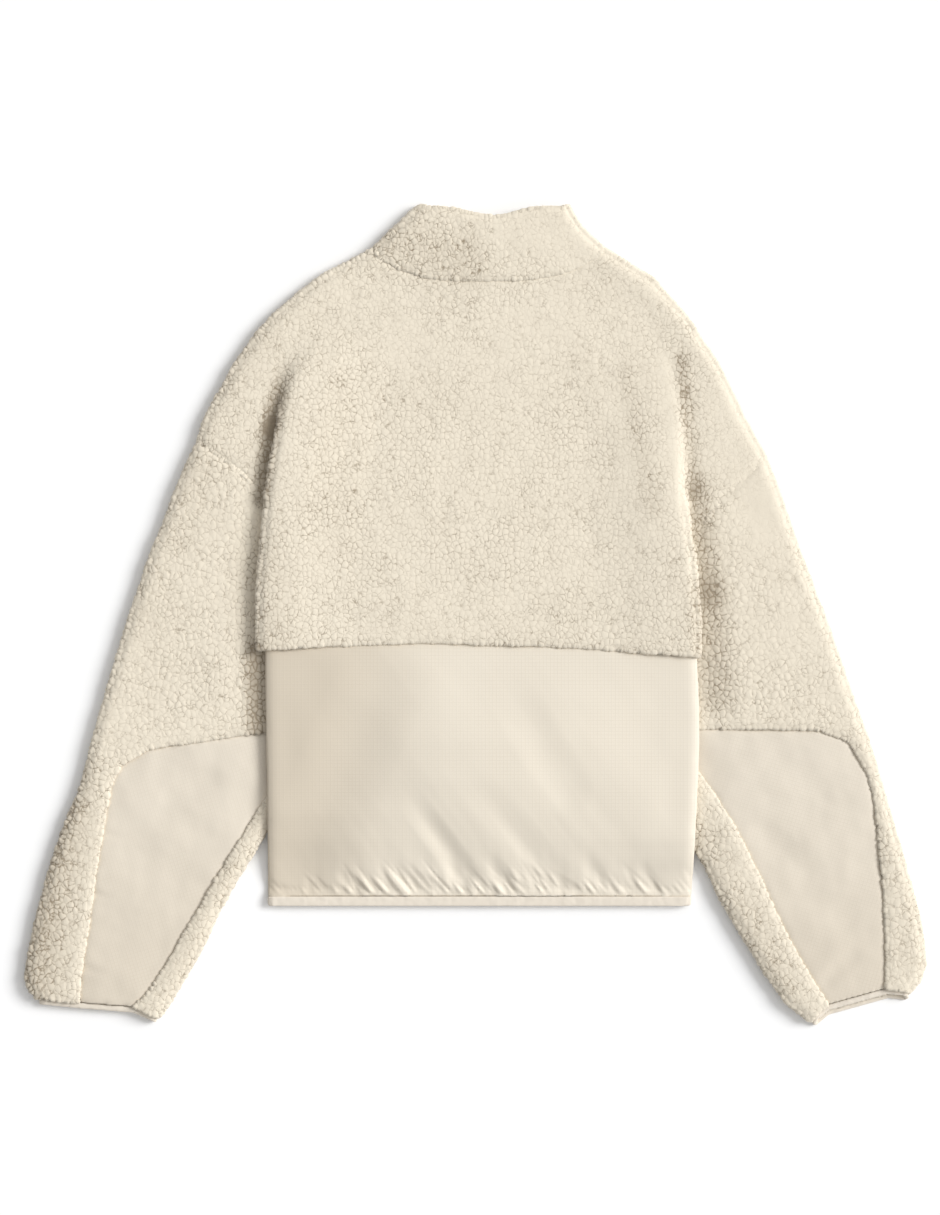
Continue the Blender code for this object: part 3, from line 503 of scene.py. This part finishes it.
@dataclass(frozen=True)
class Folds(WovenRelief):
    """Soft folds and gathers of a woven panel that lies flat."""

    fluff: float = 0.6 * MM
    dents: tuple[Crease, ...] = DENTS
    hem: float = -0.258             # y that the gathers run down to
    middle: float = -0.005          # x where they are deepest
    held: Fade = Fade(0.0, 8.0 * MM)            # the seam holds the cloth down just above the hem
    gather_height: float = 2.94 * MM
    gathers: Streaks = Streaks(0.75, 10.0 * MM, 50.0 * MM)
    gather_edge: Fade = Fade(0.0, 0.2)          # how sharply a gather dips
    gather_level: float = 0.6       # level of a gather that the relief leaves where the cloth is
    gather_foot: float = 3.0 * MM   # height over the hem at which they start to fade
    gather_reach: float = 24.0 * MM
    gather_ends: Streaks = Streaks(0.75, 22.0 * MM, 400.0 * MM)
    gather_uneven: Fade = Fade(0.36, 0.64, 0.5, 1.6)    # how unevenly far up they reach
    gather_sides: Fade = Fade(0.05, 0.19, 1.0, 0.8)     # how they flatten away from the middle
    fold_height: float = 1.1 * MM
    folds: Streaks = Streaks(0.7, 30.0 * MM, 160.0 * MM)
    fold_top: Fade = Fade(0.03, 0.13, 1.0, 0.2)         # how they flatten away from the hem
    fold_sides: Fade = Fade(0.06, 0.17, 1.0, 0.35)
    wave_height: float = 1.0 * MM
    waves: Streaks = Streaks(0.8, 100.0 * MM, 150.0 * MM)

    def gathered(self, graph: Graph, place: Socket, above: Socket, away: Socket) -> Socket:
        """Level of the gathers.

        Args:
            graph: the tree to write in.
            place: the place at rest.
            above: its height over the hem.
            away: its distance from the middle.

        Returns:
            The level's socket, around 0.
        """
        uneven = self.gather_uneven.level(graph, self.gather_ends.level(graph, place))
        near = graph.ramp(above, self.gather_foot, graph.times(uneven, self.gather_reach), 1.0, 0.0)
        dip = graph.math("ABSOLUTE", graph.minus(self.gathers.level(graph, place), 0.5))
        level = graph.times(graph.minus(self.gather_edge.level(graph, dip), self.gather_level), near)
        return graph.times(level, self.gather_sides.level(graph, away))

    def folded(self, graph: Graph, place: Socket, above: Socket, away: Socket) -> Socket:
        """Level of the long folds.

        Args:
            graph: the tree to write in.
            place: the place at rest.
            above: its height over the hem.
            away: its distance from the middle.

        Returns:
            The level's socket, around 0.
        """
        level = graph.minus(self.folds.level(graph, place), 0.5)
        level = graph.times(level, self.fold_top.level(graph, above))
        return graph.times(level, self.fold_sides.level(graph, away))

    def relief(self, graph: Graph, place: Socket, opening: Socket) -> Socket:
        """Height of the folds over the panel's middle level, in metres.

        Args:
            graph: the tree to write in.
            place: the place at rest.
            opening: not used by woven cloth.

        Returns:
            The height's socket.
        """
        x, y, _ = graph.axes(place)
        above = graph.minus(y, self.hem)
        away = graph.math("ABSOLUTE", graph.minus(x, self.middle))
        waves = graph.minus(self.waves.level(graph, place), 0.5)
        folds = self.folded(graph, place, above, away)
        total = graph.times(self.gathered(graph, place, above, away), self.gather_height)
        total = graph.plus(total, graph.times(folds, 2.0 * self.fold_height))
        total = graph.plus(total, graph.times(waves, 2.0 * self.wave_height))
        return graph.times(self.dented(graph, place, total), self.held.level(graph, above))


PATCH_DENTS = (
    Crease((-0.318, -0.205), (-0.349, -0.198), 0.006, 0.6, 1.0),        # short puckers at the outer seam
    Crease((-0.334, -0.218), (-0.352, -0.230), 0.005, 0.5, 1.0),
    Crease((-0.324, -0.262), (-0.356, -0.253), 0.006, 0.7, 1.0),
    Crease((-0.322, -0.276), (-0.360, -0.284), 0.007, 0.4, 1.0),
    Crease((-0.330, -0.332), (-0.364, -0.321), 0.007, 0.7, 1.0),
    Crease((0.364, -0.194), (0.393, -0.206), 0.006, 0.6, 1.0),
    Crease((0.370, -0.272), (0.399, -0.261), 0.006, 0.6, 1.0),
    Crease((0.374, -0.312), (0.402, -0.319), 0.007, 0.5, 1.0),
    Crease((-0.300, -0.300), (-0.245, -0.258), 0.016, 0.9, 0.8),        # soft folds across the patches
    Crease((-0.305, -0.185), (-0.245, -0.150), 0.018, 0.9, 0.8),
    Crease((0.330, -0.262), (0.265, -0.200), 0.018, 0.9, 0.8),
    Crease((0.362, -0.298), (0.322, -0.336), 0.012, 0.9, 0.8),
)


@dataclass(frozen=True)
class Puckers(WovenRelief):
    """Small puckers of a narrow sewn strip or patch."""

    height: float = 0.5 * MM
    pitch: float = 9.0 * MM

    def relief(self, graph: Graph, place: Socket, opening: Socket) -> Socket:
        """Height of the puckers, in metres.

        Args:
            graph: the tree to write in.
            place: the place at rest.
            opening: not used by woven cloth.

        Returns:
            The height's socket.
        """
        level = graph.minus(graph.level(place, self.pitch, 1.5), 0.5)
        return self.dented(graph, place, graph.times(level, 2.0 * self.height))


@dataclass(frozen=True)
class FleeceFinish:
    """Colour and shine of the pile, with painted shade in its creases."""

    name: str
    pile: Pile
    light: Colour = (0.800, 0.725, 0.595, 1.0)
    shade: Colour = (0.325, 0.265, 0.190, 1.0)
    crack: float = 0.08             # half width of a crack's shadow, in tuft widths
    spread: float = 0.05            # how much wider it is where the pile opens up
    depth: float = 0.80             # how dark that shadow is
    strokes: Patches = Patches(2.8 * MM, Fade(0.38, 0.6, 0.25, 1.0), rough=0.55)    # where it breaks off
    soft: Fade = Fade(0.0, 0.32, 0.11, 0.0)     # the wider, fainter shadow around a crack
    stains: Patches = Patches(30.0 * MM, Fade(0.35, 0.7, 0.0, 0.06), detail=3.0)    # faint darker places
    painted_crease_shade: float = 0.25            # painted shade: how much darker the pile is all over where it opens up in a crease
    painted_light_limit: float = -0.03           # limit of the painted light: how much lighter the pile is where it lies closed, on slopes that face the light
    curl: float = 1.1 * MM          # across one curl of the pile
    dome_share: float = 0.7         # shares of the tufts and the curls in the fine relief
    curl_share: float = 0.5

    def darkness(self, graph: Graph, place: Socket, opening: Socket, edge: Socket,
                 strength: Socket) -> Socket:
        """How dark the pile is, with painted shade where it opens in a crease.

        Args:
            graph: the tree to write in.
            place: the place at rest.
            opening: the creases' effect there.
            edge: the distance to the nearest crack.
            strength: how deep the cracks are.

        Returns:
            The share of the shade's colour, from 0 to 1.
        """
        width = graph.plus(graph.times(graph.clamped(opening), self.spread), self.crack)
        line = graph.times(graph.ramp(edge, 0.0, width, self.depth, 0.0), strength)
        line = graph.times(line, self.strokes.level(graph, place))
        soft = graph.times(self.soft.level(graph, edge), strength)
        # Painted shade where the pile opens in a crease, and a little painted light where it lies closed.
        painted_crease_shade = graph.times(graph.math("MAXIMUM", opening, self.painted_light_limit), self.painted_crease_shade)
        rest = graph.plus(self.stains.level(graph, place), painted_crease_shade)
        return graph.math("ADD", graph.plus(line, soft), rest, clamp=True)

    def material(self) -> bpy.types.Material:
        """Makes the material.

        Returns:
            The node material.
        """
        made, graph = new_material(self.name)
        place = graph.kept(REST, "Vector")
        opening = graph.kept(CREASE, "Fac")
        edge = self.pile.edge(graph, place)
        strength = self.pile.strength(graph, place, opening)
        colour = graph.blend(self.darkness(graph, place, opening, edge, strength), self.light, self.shade)
        curls = graph.level(place, self.curl, 3.0, 0.65)
        dome = graph.times(self.pile.dome(graph, edge), strength)
        height = graph.plus(graph.times(dome, self.dome_share), graph.times(curls, self.curl_share))
        graph.end("ShaderNodeOutputMaterial", graph.node("ShaderNodeBsdfPrincipled", {
            "Base Color": colour, "Roughness": 0.95, "Sheen Weight": 0.25, "Sheen Roughness": 0.6,
            "Specular IOR Level": 0.15, "Normal": graph.bump(height, 0.35 * MM, 0.7),
        }))
        return made


@dataclass(frozen=True)
class DarkerSide:
    """A side of a panel that is darker."""

    way: tuple[float, float] = (0.0, 0.0)       # the way in which it gets darker
    start: float = 0.0              # distance along that way at which it starts
    reach: float = 1.0              # distance over which it grows
    share: float = 0.0              # how dark it gets

    def level(self, graph: Graph, place: Socket) -> Socket:
        """How dark a place is."""
        along = graph.dot(place, Vector((*self.way, 0.0)))
        return graph.ramp(along, self.start, self.start + self.reach, 0.0, self.share)


@dataclass(frozen=True)
class WovenFinish:
    """Colour, sheen and ripstop grid of the woven cloth."""

    name: str
    colour: Colour = (0.768, 0.701, 0.591, 1.0)
    line: Colour = (0.64, 0.565, 0.455, 1.0)
    pitch: float = 3.3 * MM
    line_width: float = 0.8 * MM
    thread: float = 0.7 * MM
    turn: float = 0.0               # angle of the grid in the plane of the floor, in degrees
    strong: float = 0.5             # how dark the clearest lines are
    grid_share: float = 0.6         # shares of the grid and the threads in the fine relief
    thread_share: float = 0.3
    clear: Patches = Patches(50.0 * MM, Fade(0.3, 0.7, 0.25, 0.8), detail=3.0)  # how clearly the grid shows
    roughness: float = 0.55
    darker_side: DarkerSide = DarkerSide()

    def grid(self, graph: Graph, place: Socket) -> Socket:
        """The ripstop's lines, which are 1 in their middle and 0 between them."""
        lines = []
        for way in graph.axes(place)[:2]:
            phase = graph.math("PINGPONG", way, self.pitch / 2)
            lines.append(graph.ramp(phase, 0.0, self.line_width / 2, 1.0, 0.0))
        return graph.math("MAXIMUM", *lines)

    def material(self) -> bpy.types.Material:
        """Makes the material.

        Returns:
            The node material.
        """
        made, graph = new_material(self.name)
        place = graph.kept(REST, "Vector")
        turned = graph.node("ShaderNodeVectorRotate", {"Vector": place, "Angle": math.radians(self.turn)},
                            rotation_type="Z_AXIS").outputs[0]
        grid = self.grid(graph, turned)
        shade = graph.times(grid, self.clear.level(graph, place))
        # The darker side blends in more of the line colour: painted shade on the left of the ripstop panels,
        # and a darker lower end on the patches.
        shade = graph.plus(graph.times(shade, self.strong), self.darker_side.level(graph, place))
        threads = graph.level(graph.scaled(turned, (1.0, 1.0, 0.0)), self.thread, 2.0, 0.6)
        height = graph.plus(graph.times(grid, self.grid_share), graph.times(threads, self.thread_share))
        graph.end("ShaderNodeOutputMaterial", graph.node("ShaderNodeBsdfPrincipled", {
            "Base Color": graph.blend(shade, self.colour, self.line), "Roughness": self.roughness,
            "Sheen Weight": 0.15, "Sheen Roughness": 0.4, "Specular IOR Level": 0.3,
            "Normal": graph.bump(height, 0.12 * MM, 0.6),
        }))
        return made


@dataclass(frozen=True)
class PlainFinish:
    """Finish of small hard or moulded pieces."""

    name: str
    colour: Colour
    roughness: float
    metallic: float = 0.0
    wear_size: float = 4.0 * MM     # across one worn patch
    wear_shade: float = 0.86        # how light the colour is where it is worn
    wear_rough: float = 0.08        # how much rougher or smoother it is there

    def material(self) -> bpy.types.Material:
        """Makes the material, with the faint unevenness of a used surface.

        Returns:
            The node material.
        """
        made, graph = new_material(self.name)
        place = graph.node("ShaderNodeTexCoord").outputs["Object"]
        worn = graph.level(place, self.wear_size, 3.0, 0.6)
        darker = tuple(part * self.wear_shade for part in self.colour[:3]) + (1.0,)
        fade = Fade(0.3, 0.7, self.roughness - self.wear_rough, self.roughness + self.wear_rough)
        graph.end("ShaderNodeOutputMaterial", graph.node("ShaderNodeBsdfPrincipled", {
            "Base Color": graph.blend(worn, darker, self.colour), "Roughness": fade.level(graph, worn),
            "Metallic": self.metallic,
        }))
        return made


class Held(Enum):
    """How a piece of cloth is held."""

    LAID = "laid"
    GATHERED = "gathered"
    FOLDED = "folded"


HIDDEN_TILT = -0.35                 # a face that tilts further down than this doesn't show
FLAT_TILT = 0.6                     # a point that tilts less than this is on an edge of the cloth
FLUFF_FADE = (0.35, 0.92)           # tilts between which the edge's growth fades out
BOOST_FADE = (0.4, 0.97)            # tilts between which the tufts' extra height fades out
FLOOR_FADE = (0.4 * MM, 3.0 * MM)   # heights between which the relief grows, so that the underside is flat
WELD = 0.001 * MM


@dataclass
class ClothPiece:
    """A fine skin of one cut piece, grown from its solid."""

    node: str
    slot: str
    voxel: float                    # width of the skin's faces where they show
    faces: int                      # most triangles that the skin may have
    relief: Pile | Folds | Puckers
    finish: bpy.types.Material
    flat: tuple[float, float]       # the cut's width and length
    area: float                     # the cut's area in square metres
    held: Held = Held.LAID
    rests_on: tuple[str, ...] = ("floor",)
    settle: int = 30                # steps that round the solid's coarse facets
    soften: int = 2                 # steps that round its edges
    inside: float = 5.6 * MM        # height under which the skin lies inside or underneath

    def merged_copy(self) -> bpy.types.Object:
        """Copies the solid with its loose triangles joined.

        Returns:
            The copy.
        """
        shape = bmesh.new()
        shape.from_mesh(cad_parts[self.node].data)
        bmesh.ops.remove_doubles(shape, verts=shape.verts, dist=WELD)
        name = self.node + "_skin"
        return placed(name, meshed(name, shape))

    def relief_group(self) -> bpy.types.NodeTree:
        """Writes the nodes that keep each point's place and raise the relief.

        Returns:
            The group for the skin's relief.
        """
        group = bpy.data.node_groups.new(self.node + "_relief", "GeometryNodeTree")
        for way in ("INPUT", "OUTPUT"):
            group.interface.new_socket("Geometry", in_out=way, socket_type="NodeSocketGeometry")
        graph = Graph(group)
        start = graph.node("NodeGroupInput")
        place = graph.node("GeometryNodeInputPosition").outputs[0]
        inputs = {"Geometry": start.outputs[0], "Name": REST, "Value": place}
        kept = graph.node("GeometryNodeStoreNamedAttribute", inputs, data_type="FLOAT_VECTOR")
        opening = graph.plus(0.0, 0.0)
        if isinstance(self.relief, Pile):
            opening = self.relief.opening(graph, place)
            inputs = {"Geometry": kept.outputs[0], "Name": CREASE, "Value": opening}
            kept = graph.node("GeometryNodeStoreNamedAttribute", inputs, data_type="FLOAT")
        offset = self.offset(graph, place, opening)
        moved = graph.node("GeometryNodeSetPosition", {"Geometry": kept.outputs[0], "Offset": offset})
        end = graph.node("NodeGroupOutput")
        graph.put(moved.outputs[0], end.inputs[0])
        return group

    def offset(self, graph: Graph, place: Socket, opening: Socket) -> Socket:
        """How far and which way the relief moves a point.

        Args:
            graph: the tree to write in.
            place: the point's place at rest.
            opening: the creases' effect there.

        Returns:
            The offset's socket.
        """
        normal = graph.node("GeometryNodeInputNormal").outputs[0]
        tilt = graph.math("ABSOLUTE", graph.axes(normal)[2])
        fluff = graph.ramp(tilt, *FLUFF_FADE, self.relief.fluff, 0.0)
        boost = graph.ramp(tilt, *BOOST_FADE, self.relief.edge_boost, 1.0)
        relief = graph.times(self.relief.relief(graph, place, opening), boost)
        clear = graph.ramp(graph.axes(place)[2], *FLOOR_FADE)
        lift = fluff if self.relief.upright else graph.plus(relief, fluff)
        offset = graph.stretched(normal, graph.times(lift, clear))
        if self.relief.upright:
            rise = graph.node("ShaderNodeCombineXYZ", {"Z": graph.times(relief, clear)}).outputs[0]
            offset = graph.vector("ADD", offset, rise)
        return offset

    def thin_hidden(self, made: bpy.types.Object) -> None:
        """Thins the faces inside and underneath, so that the fine ones are where they show.

        Args:
            made: the skin, with fine faces all over.
        """
        mesh = made.data
        shown = set()
        for face in mesh.polygons:
            if face.normal.z > HIDDEN_TILT and face.center.z > self.inside:
                shown.update(face.vertices)
        hidden = [index for index in range(len(mesh.vertices)) if index not in shown]
        group = made.vertex_groups.new(name="hidden")
        group.add(hidden, 1.0, "REPLACE")
        thin = made.modifiers.new("thin", "DECIMATE")
        thin.vertex_group = group.name
        thin.vertex_group_factor = 100.0
        thin.ratio = min(1.0, self.faces / (2.0 * len(mesh.polygons)))

    def smooth(self, made: bpy.types.Object) -> None:
        """Rounds the solid's facets, and then a little of everything.

        Args:
            made: the skin, without its relief.
        """
        flat = [vertex.index for vertex in made.data.vertices if abs(vertex.normal.z) > FLAT_TILT]
        made.vertex_groups.new(name="flat").add(flat, 1.0, "REPLACE")
        for name, steps, group in (("settle", self.settle, "flat"), ("soften", self.soften, "")):
            step = made.modifiers.new(name, "SMOOTH")
            step.vertex_group = group
            step.factor = 0.5
            step.iterations = steps

    def build(self) -> bpy.types.Object:
        """Grows the skin and dresses it.

        Returns:
            The finished piece.
        """
        made = self.merged_copy()
        remesh = made.modifiers.new("fine faces", "REMESH")
        remesh.mode = "VOXEL"
        remesh.voxel_size = self.voxel
        remesh.use_smooth_shade = True
        baked(made)
        self.thin_hidden(made)
        baked(made)
        made.vertex_groups.clear()
        self.smooth(made)
        relief = made.modifiers.new("relief", "NODES")
        relief.node_group = self.relief_group()
        finished = baked(made)
        finished.name = self.node + "_skin"
        finished.materials.clear()
        finished.materials.append(self.finish)
        for face in finished.polygons:
            face.use_smooth = True
        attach(made, BODY)
        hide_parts(self.node)
        list(self.rests_on)
        finished.calc_loop_triangles()
        LOG.info("%s: %d triangles", made.name, len(finished.loop_triangles))
        return made


@dataclass
class FleeceParts:
    """Yoke, sleeves, collar and upper fronts."""

    pile: Pile = field(default_factory=Pile)
    fine_fluff: float = 2.8 * MM    # growth over the edges of the yoke and the collar, whose pile is finer

    def build(self) -> list[bpy.types.Object]:
        """Builds the fleece pieces.

        Returns:
            The finished pieces.
        """
        fainter = Patches(8.0 * MM, Fade(0.36, 0.62, 0.5, 1.0))
        back = Pile(tuft=4.5 * MM, height=0.36 * MM, breaks=fainter, fluff=self.fine_fluff, edge_boost=4.5)
        fine = Pile(tuft=4.3 * MM, height=0.5 * MM, fluff=self.fine_fluff)
        look = FleeceFinish("fleece", self.pile).material()
        pieces = [ClothPiece(
            "back_yoke", "fleece", voxel=1.4 * MM, faces=192000, relief=back, soften=1,
            finish=FleeceFinish("fleece_back", back).material(), flat=(0.62, 0.38), area=0.164,
            held=Held.FOLDED, rests_on=("front_left_upper_skin", "front_right_upper_skin"),
        )]
        for side in ("left", "right"):
            pieces.append(ClothPiece(
                "sleeve_" + side, "fleece", voxel=1.4 * MM, faces=150000, relief=self.pile, finish=look,
                flat=(0.34, 0.53), area=0.122,
            ))
            pieces.append(ClothPiece(
                f"front_{side}_upper", "fleece", voxel=2.0 * MM, faces=24000, relief=self.pile, finish=look,
                flat=(0.25, 0.36), area=0.065,
            ))
        pieces.append(ClothPiece(
            "collar", "fleece", voxel=1.3 * MM, faces=46000, relief=fine, soften=1,
            finish=FleeceFinish("fleece_collar", fine).material(), flat=(0.062, 0.47), area=0.0285,
            held=Held.FOLDED,
        ))
        return [piece.build() for piece in pieces]


@dataclass
class WovenParts:
    """Lower back, lower fronts and forearm patches."""

    folds: Folds = field(default_factory=Folds)
    # Painted shade: the ripstop is painted darker towards the left, standing in for the shade where the
    # lower back's left side turns away from the light.
    back_painted_shade: DarkerSide = DarkerSide((-0.98, 0.20), 0.0, 0.14, 0.98)
    puckers: Puckers = Puckers(height=0.6 * MM, pitch=20.0 * MM)
    patch_puckers: Puckers = Puckers(height=1.9 * MM, pitch=42.0 * MM, dents=PATCH_DENTS)
    patch_turn: float = 17.0        # angle of the sleeves from the centre back, in degrees
    patch_colour: Colour = (0.742, 0.672, 0.566, 1.0)
    # The patches' colour gets darker towards their lower ends.
    patch_darker_end: DarkerSide = DarkerSide((0.0, -1.0), 0.15, 0.2, 0.45)

    def build(self) -> list[bpy.types.Object]:
        """Builds the woven pieces.

        Returns:
            The finished pieces.
        """
        look = WovenFinish("ripstop", darker_side=self.back_painted_shade).material()
        pieces = [ClothPiece(
            "back_lower", "ripstop", voxel=1.5 * MM, faces=110000, relief=self.folds, settle=60,
            finish=look, flat=(0.44, 0.25), area=0.102, held=Held.GATHERED,
            rests_on=("front_left_lower_skin", "front_right_lower_skin"),
        )]
        for side, turn in (("left", -self.patch_turn), ("right", self.patch_turn)):
            pieces.append(ClothPiece(
                f"front_{side}_lower", "ripstop", voxel=1.9 * MM, faces=14000, relief=self.puckers,
                finish=look, flat=(0.18, 0.24), area=0.041,
            ))
            turned = WovenFinish("ripstop_patch_" + side, colour=self.patch_colour, turn=turn,
                                 darker_side=self.patch_darker_end)
            pieces.append(ClothPiece(
                "forearm_patch_" + side, "ripstop", voxel=1.5 * MM, faces=38000, relief=self.patch_puckers,
                finish=turned.material(), flat=(0.16, 0.26), area=0.029, rests_on=(f"sleeve_{side}_skin",),
            ))
        return [piece.build() for piece in pieces]


@dataclass
class Bindings:
    """Narrow bindings of the hem and the cuffs."""

    colour: Colour = (0.77, 0.70, 0.60, 1.0)
    line: Colour = (0.70, 0.63, 0.53, 1.0)
    puckers: Puckers = Puckers(height=0.6 * MM, pitch=8.0 * MM, fluff=0.7 * MM)
    width: float = 10.0 * MM        # widest place of the cut
    cuff_mean: float = 6.4 * MM     # mean width of a cuff's cut, whose outline is narrower at its ends

    def build(self) -> list[bpy.types.Object]:
        """Builds the bindings.

        Returns:
            The finished pieces.
        """
        look = WovenFinish("binding", colour=self.colour, line=self.line, pitch=1.2 * MM,
                           line_width=0.5 * MM, roughness=0.7).material()
        pieces = [ClothPiece(
            "hem_binding", "binding", voxel=1.0 * MM, faces=30000, relief=self.puckers, settle=2, soften=1,
            finish=look, flat=(self.width, 0.77), area=0.0077,
        )]
        for side, length in (("left", 0.22), ("right", 0.19)):
            pieces.append(ClothPiece(
                "cuff_binding_" + side, "binding", voxel=0.9 * MM, faces=14000, relief=self.puckers,
                settle=1, soften=1, finish=look, flat=(self.width, length), area=self.cuff_mean * length,
            ))
        return [piece.build() for piece in pieces]


@dataclass
class Zip:
    """Front zip that the jacket lies on."""

    tooth_pitch: float = 2.4 * MM
    tooth: tuple[float, float, float] = (4.6 * MM, 1.3 * MM, 1.5 * MM)      # width, length, height
    tooth_bevel: float = 0.25 * MM
    colour: Colour = (0.80, 0.74, 0.64, 1.0)    # tapes and teeth
    tape_line: Colour = (0.74, 0.68, 0.57, 1.0)
    tape_puckers: Puckers = Puckers(height=0.1 * MM, pitch=4.0 * MM)
    metal: Colour = (0.72, 0.68, 0.60, 1.0)

    def tapes(self) -> list[bpy.types.Object]:
        """Builds the two woven tapes.

        Returns:
            The finished tapes.
        """
        look = WovenFinish("zip_tape", colour=self.colour, line=self.tape_line, pitch=1.0 * MM,
                           line_width=0.4 * MM, roughness=0.7).material()
        return [ClothPiece(
            "zip_tape_" + side, "zip_tape", voxel=0.7 * MM, faces=12000, relief=self.tape_puckers, settle=0,
            soften=0, finish=look, flat=(0.010, 0.624), area=0.0033,
        ).build() for side in ("left", "right")]

    def teeth(self) -> bpy.types.Object:
        """Builds the chain's teeth, one bevelled bar for each step along the zip.

        Returns:
            The finished chain.
        """
        low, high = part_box("zip_chain")
        points = [point.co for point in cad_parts["zip_chain"].data.vertices]
        rows = sorted({round(point.y, 5) for point in points})
        levels = [max(point.z for point in points if abs(point.y - row) < MM / 10) for row in rows]
        width, length, height = self.tooth
        shape = bmesh.new()
        for step in range(int((high.y - low.y) / self.tooth_pitch)):
            y = low.y + (step + 0.5) * self.tooth_pitch
            after = next(index for index, row in enumerate(rows) if row >= y)
            share = (y - rows[after - 1]) / (rows[after] - rows[after - 1])
            top = mixed(levels[after - 1], levels[after], share)
            new = bmesh.ops.create_cube(shape, size=1.0)["verts"]
            bmesh.ops.scale(shape, vec=(width, length, height), verts=new)
            bmesh.ops.translate(shape, vec=((low.x + high.x) / 2, y, top - height / 2), verts=new)
        bmesh.ops.bevel(shape, geom=list(shape.edges), offset=self.tooth_bevel, segments=1, profile=0.5,
                        affect="EDGES", material=-1)
        made = placed("zip_teeth", meshed("zip_teeth", shape))
        made.data.materials.append(PlainFinish("zip_teeth", self.colour, 0.45).material())
        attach(made, BODY)
        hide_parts("zip_chain")
        return made

    def build(self) -> list[bpy.types.Object]:
        """Builds the tapes and teeth, and gives the slider and pull their metal.

        Returns:
            The finished pieces.
        """
        metal = PlainFinish("zip_metal", self.metal, 0.34, 0.85).material()
        for name in ("zip_slider", "zip_pull"):
            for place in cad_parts[name].material_slots:
                place.material = metal
        return self.tapes() + [self.teeth()]


@dataclass
class Studio:
    """Pale floor, soft light from the upper right and a camera straight above."""

    picture: tuple[int, int] = (940, 1215)      # the picture's width and height
    metres_per_step: float = 0.92 * MM          # real size of one of its steps
    middle: tuple[float, float] = (-4.6 * MM, 7.4 * MM)     # what the camera looks straight down on
    height: float = 4.0
    sensor: float = 36.0
    sight: tuple[float, float] = (0.1, 20.0)    # nearest and farthest distance that the camera sees
    key: tuple[float, float, float] = (1.0, 0.32, 0.76)     # where the key light comes from
    key_strength: float = 2.40      # its strength, in watts for each square metre
    key_angle: float = 28.0         # how wide it looks, in degrees
    fill_near: float = 0.97         # strength of the light all round, on the key's side
    fill_far: float = 0.30          # and on the other side
    floor_size: float = 6.0         # half the floor's width
    floor_gap: float = 0.2 * MM     # the floor lies this far under the jacket
    floor_colour: Colour = (0.96, 0.96, 0.96, 1.0)

    def camera(self) -> None:
        """Places the camera."""
        data = bpy.data.cameras.new("camera")
        data.sensor_width = self.sensor
        data.lens = self.sensor * self.height / (self.picture[1] * self.metres_per_step)
        data.clip_start, data.clip_end = self.sight
        made = placed("camera", data)
        made.location = (*self.middle, self.height)
        bpy.context.scene.camera = made

    def sun(self) -> None:
        """Adds the soft key light."""
        data = bpy.data.lights.new("key", "SUN")
        data.energy = self.key_strength
        data.angle = math.radians(self.key_angle)
        made = placed("key", data)
        made.location = self.key
        made.rotation_euler = (-Vector(self.key)).to_track_quat("-Z", "Y").to_euler()

    def sky(self) -> None:
        """Surrounds the jacket with light that is stronger on the key's side."""
        world = bpy.data.worlds.new("world")
        world.use_nodes = True
        graph = Graph(world.node_tree)
        way = graph.node("ShaderNodeTexCoord").outputs["Generated"]
        along = graph.dot(way, Vector((*self.key[:2], 0.0)).normalized())
        strength = graph.ramp(along, -1.0, 1.0, self.fill_far, self.fill_near)
        background = graph.node("ShaderNodeBackground", {"Color": WHITE, "Strength": strength})
        graph.end("ShaderNodeOutputWorld", background)
        bpy.context.scene.world = world

    def floor(self) -> None:
        """Lays the floor."""
        shape = bmesh.new()
        bmesh.ops.create_grid(shape, x_segments=1, y_segments=1, size=self.floor_size)
        made = placed("floor", meshed("floor", shape))
        made.location.z = -self.floor_gap
        paper = bpy.data.materials.new("paper")
        paper.use_nodes = True
        shader = paper.node_tree.nodes["Principled BSDF"]
        shader.inputs["Base Color"].default_value = self.floor_colour
        shader.inputs["Roughness"].default_value = 0.9
        made.data.materials.append(paper)

    def build(self) -> None:
        """Sets up the whole studio."""
        self.camera()
        self.sun()
        self.sky()
        bpy.context.scene.view_settings.view_transform = "Standard"
        self.floor()


def main() -> None:
    """Builds the studio and every piece of the jacket."""
    logging.basicConfig(level=logging.INFO, format="%(message)s")
    Studio().build()
    for group in (FleeceParts(), WovenParts(), Bindings(), Zip()):
        pieces = group.build()
        LOG.info("%s: %d pieces", type(group).__name__, len(pieces))


if __name__ == "__main__":
    main()
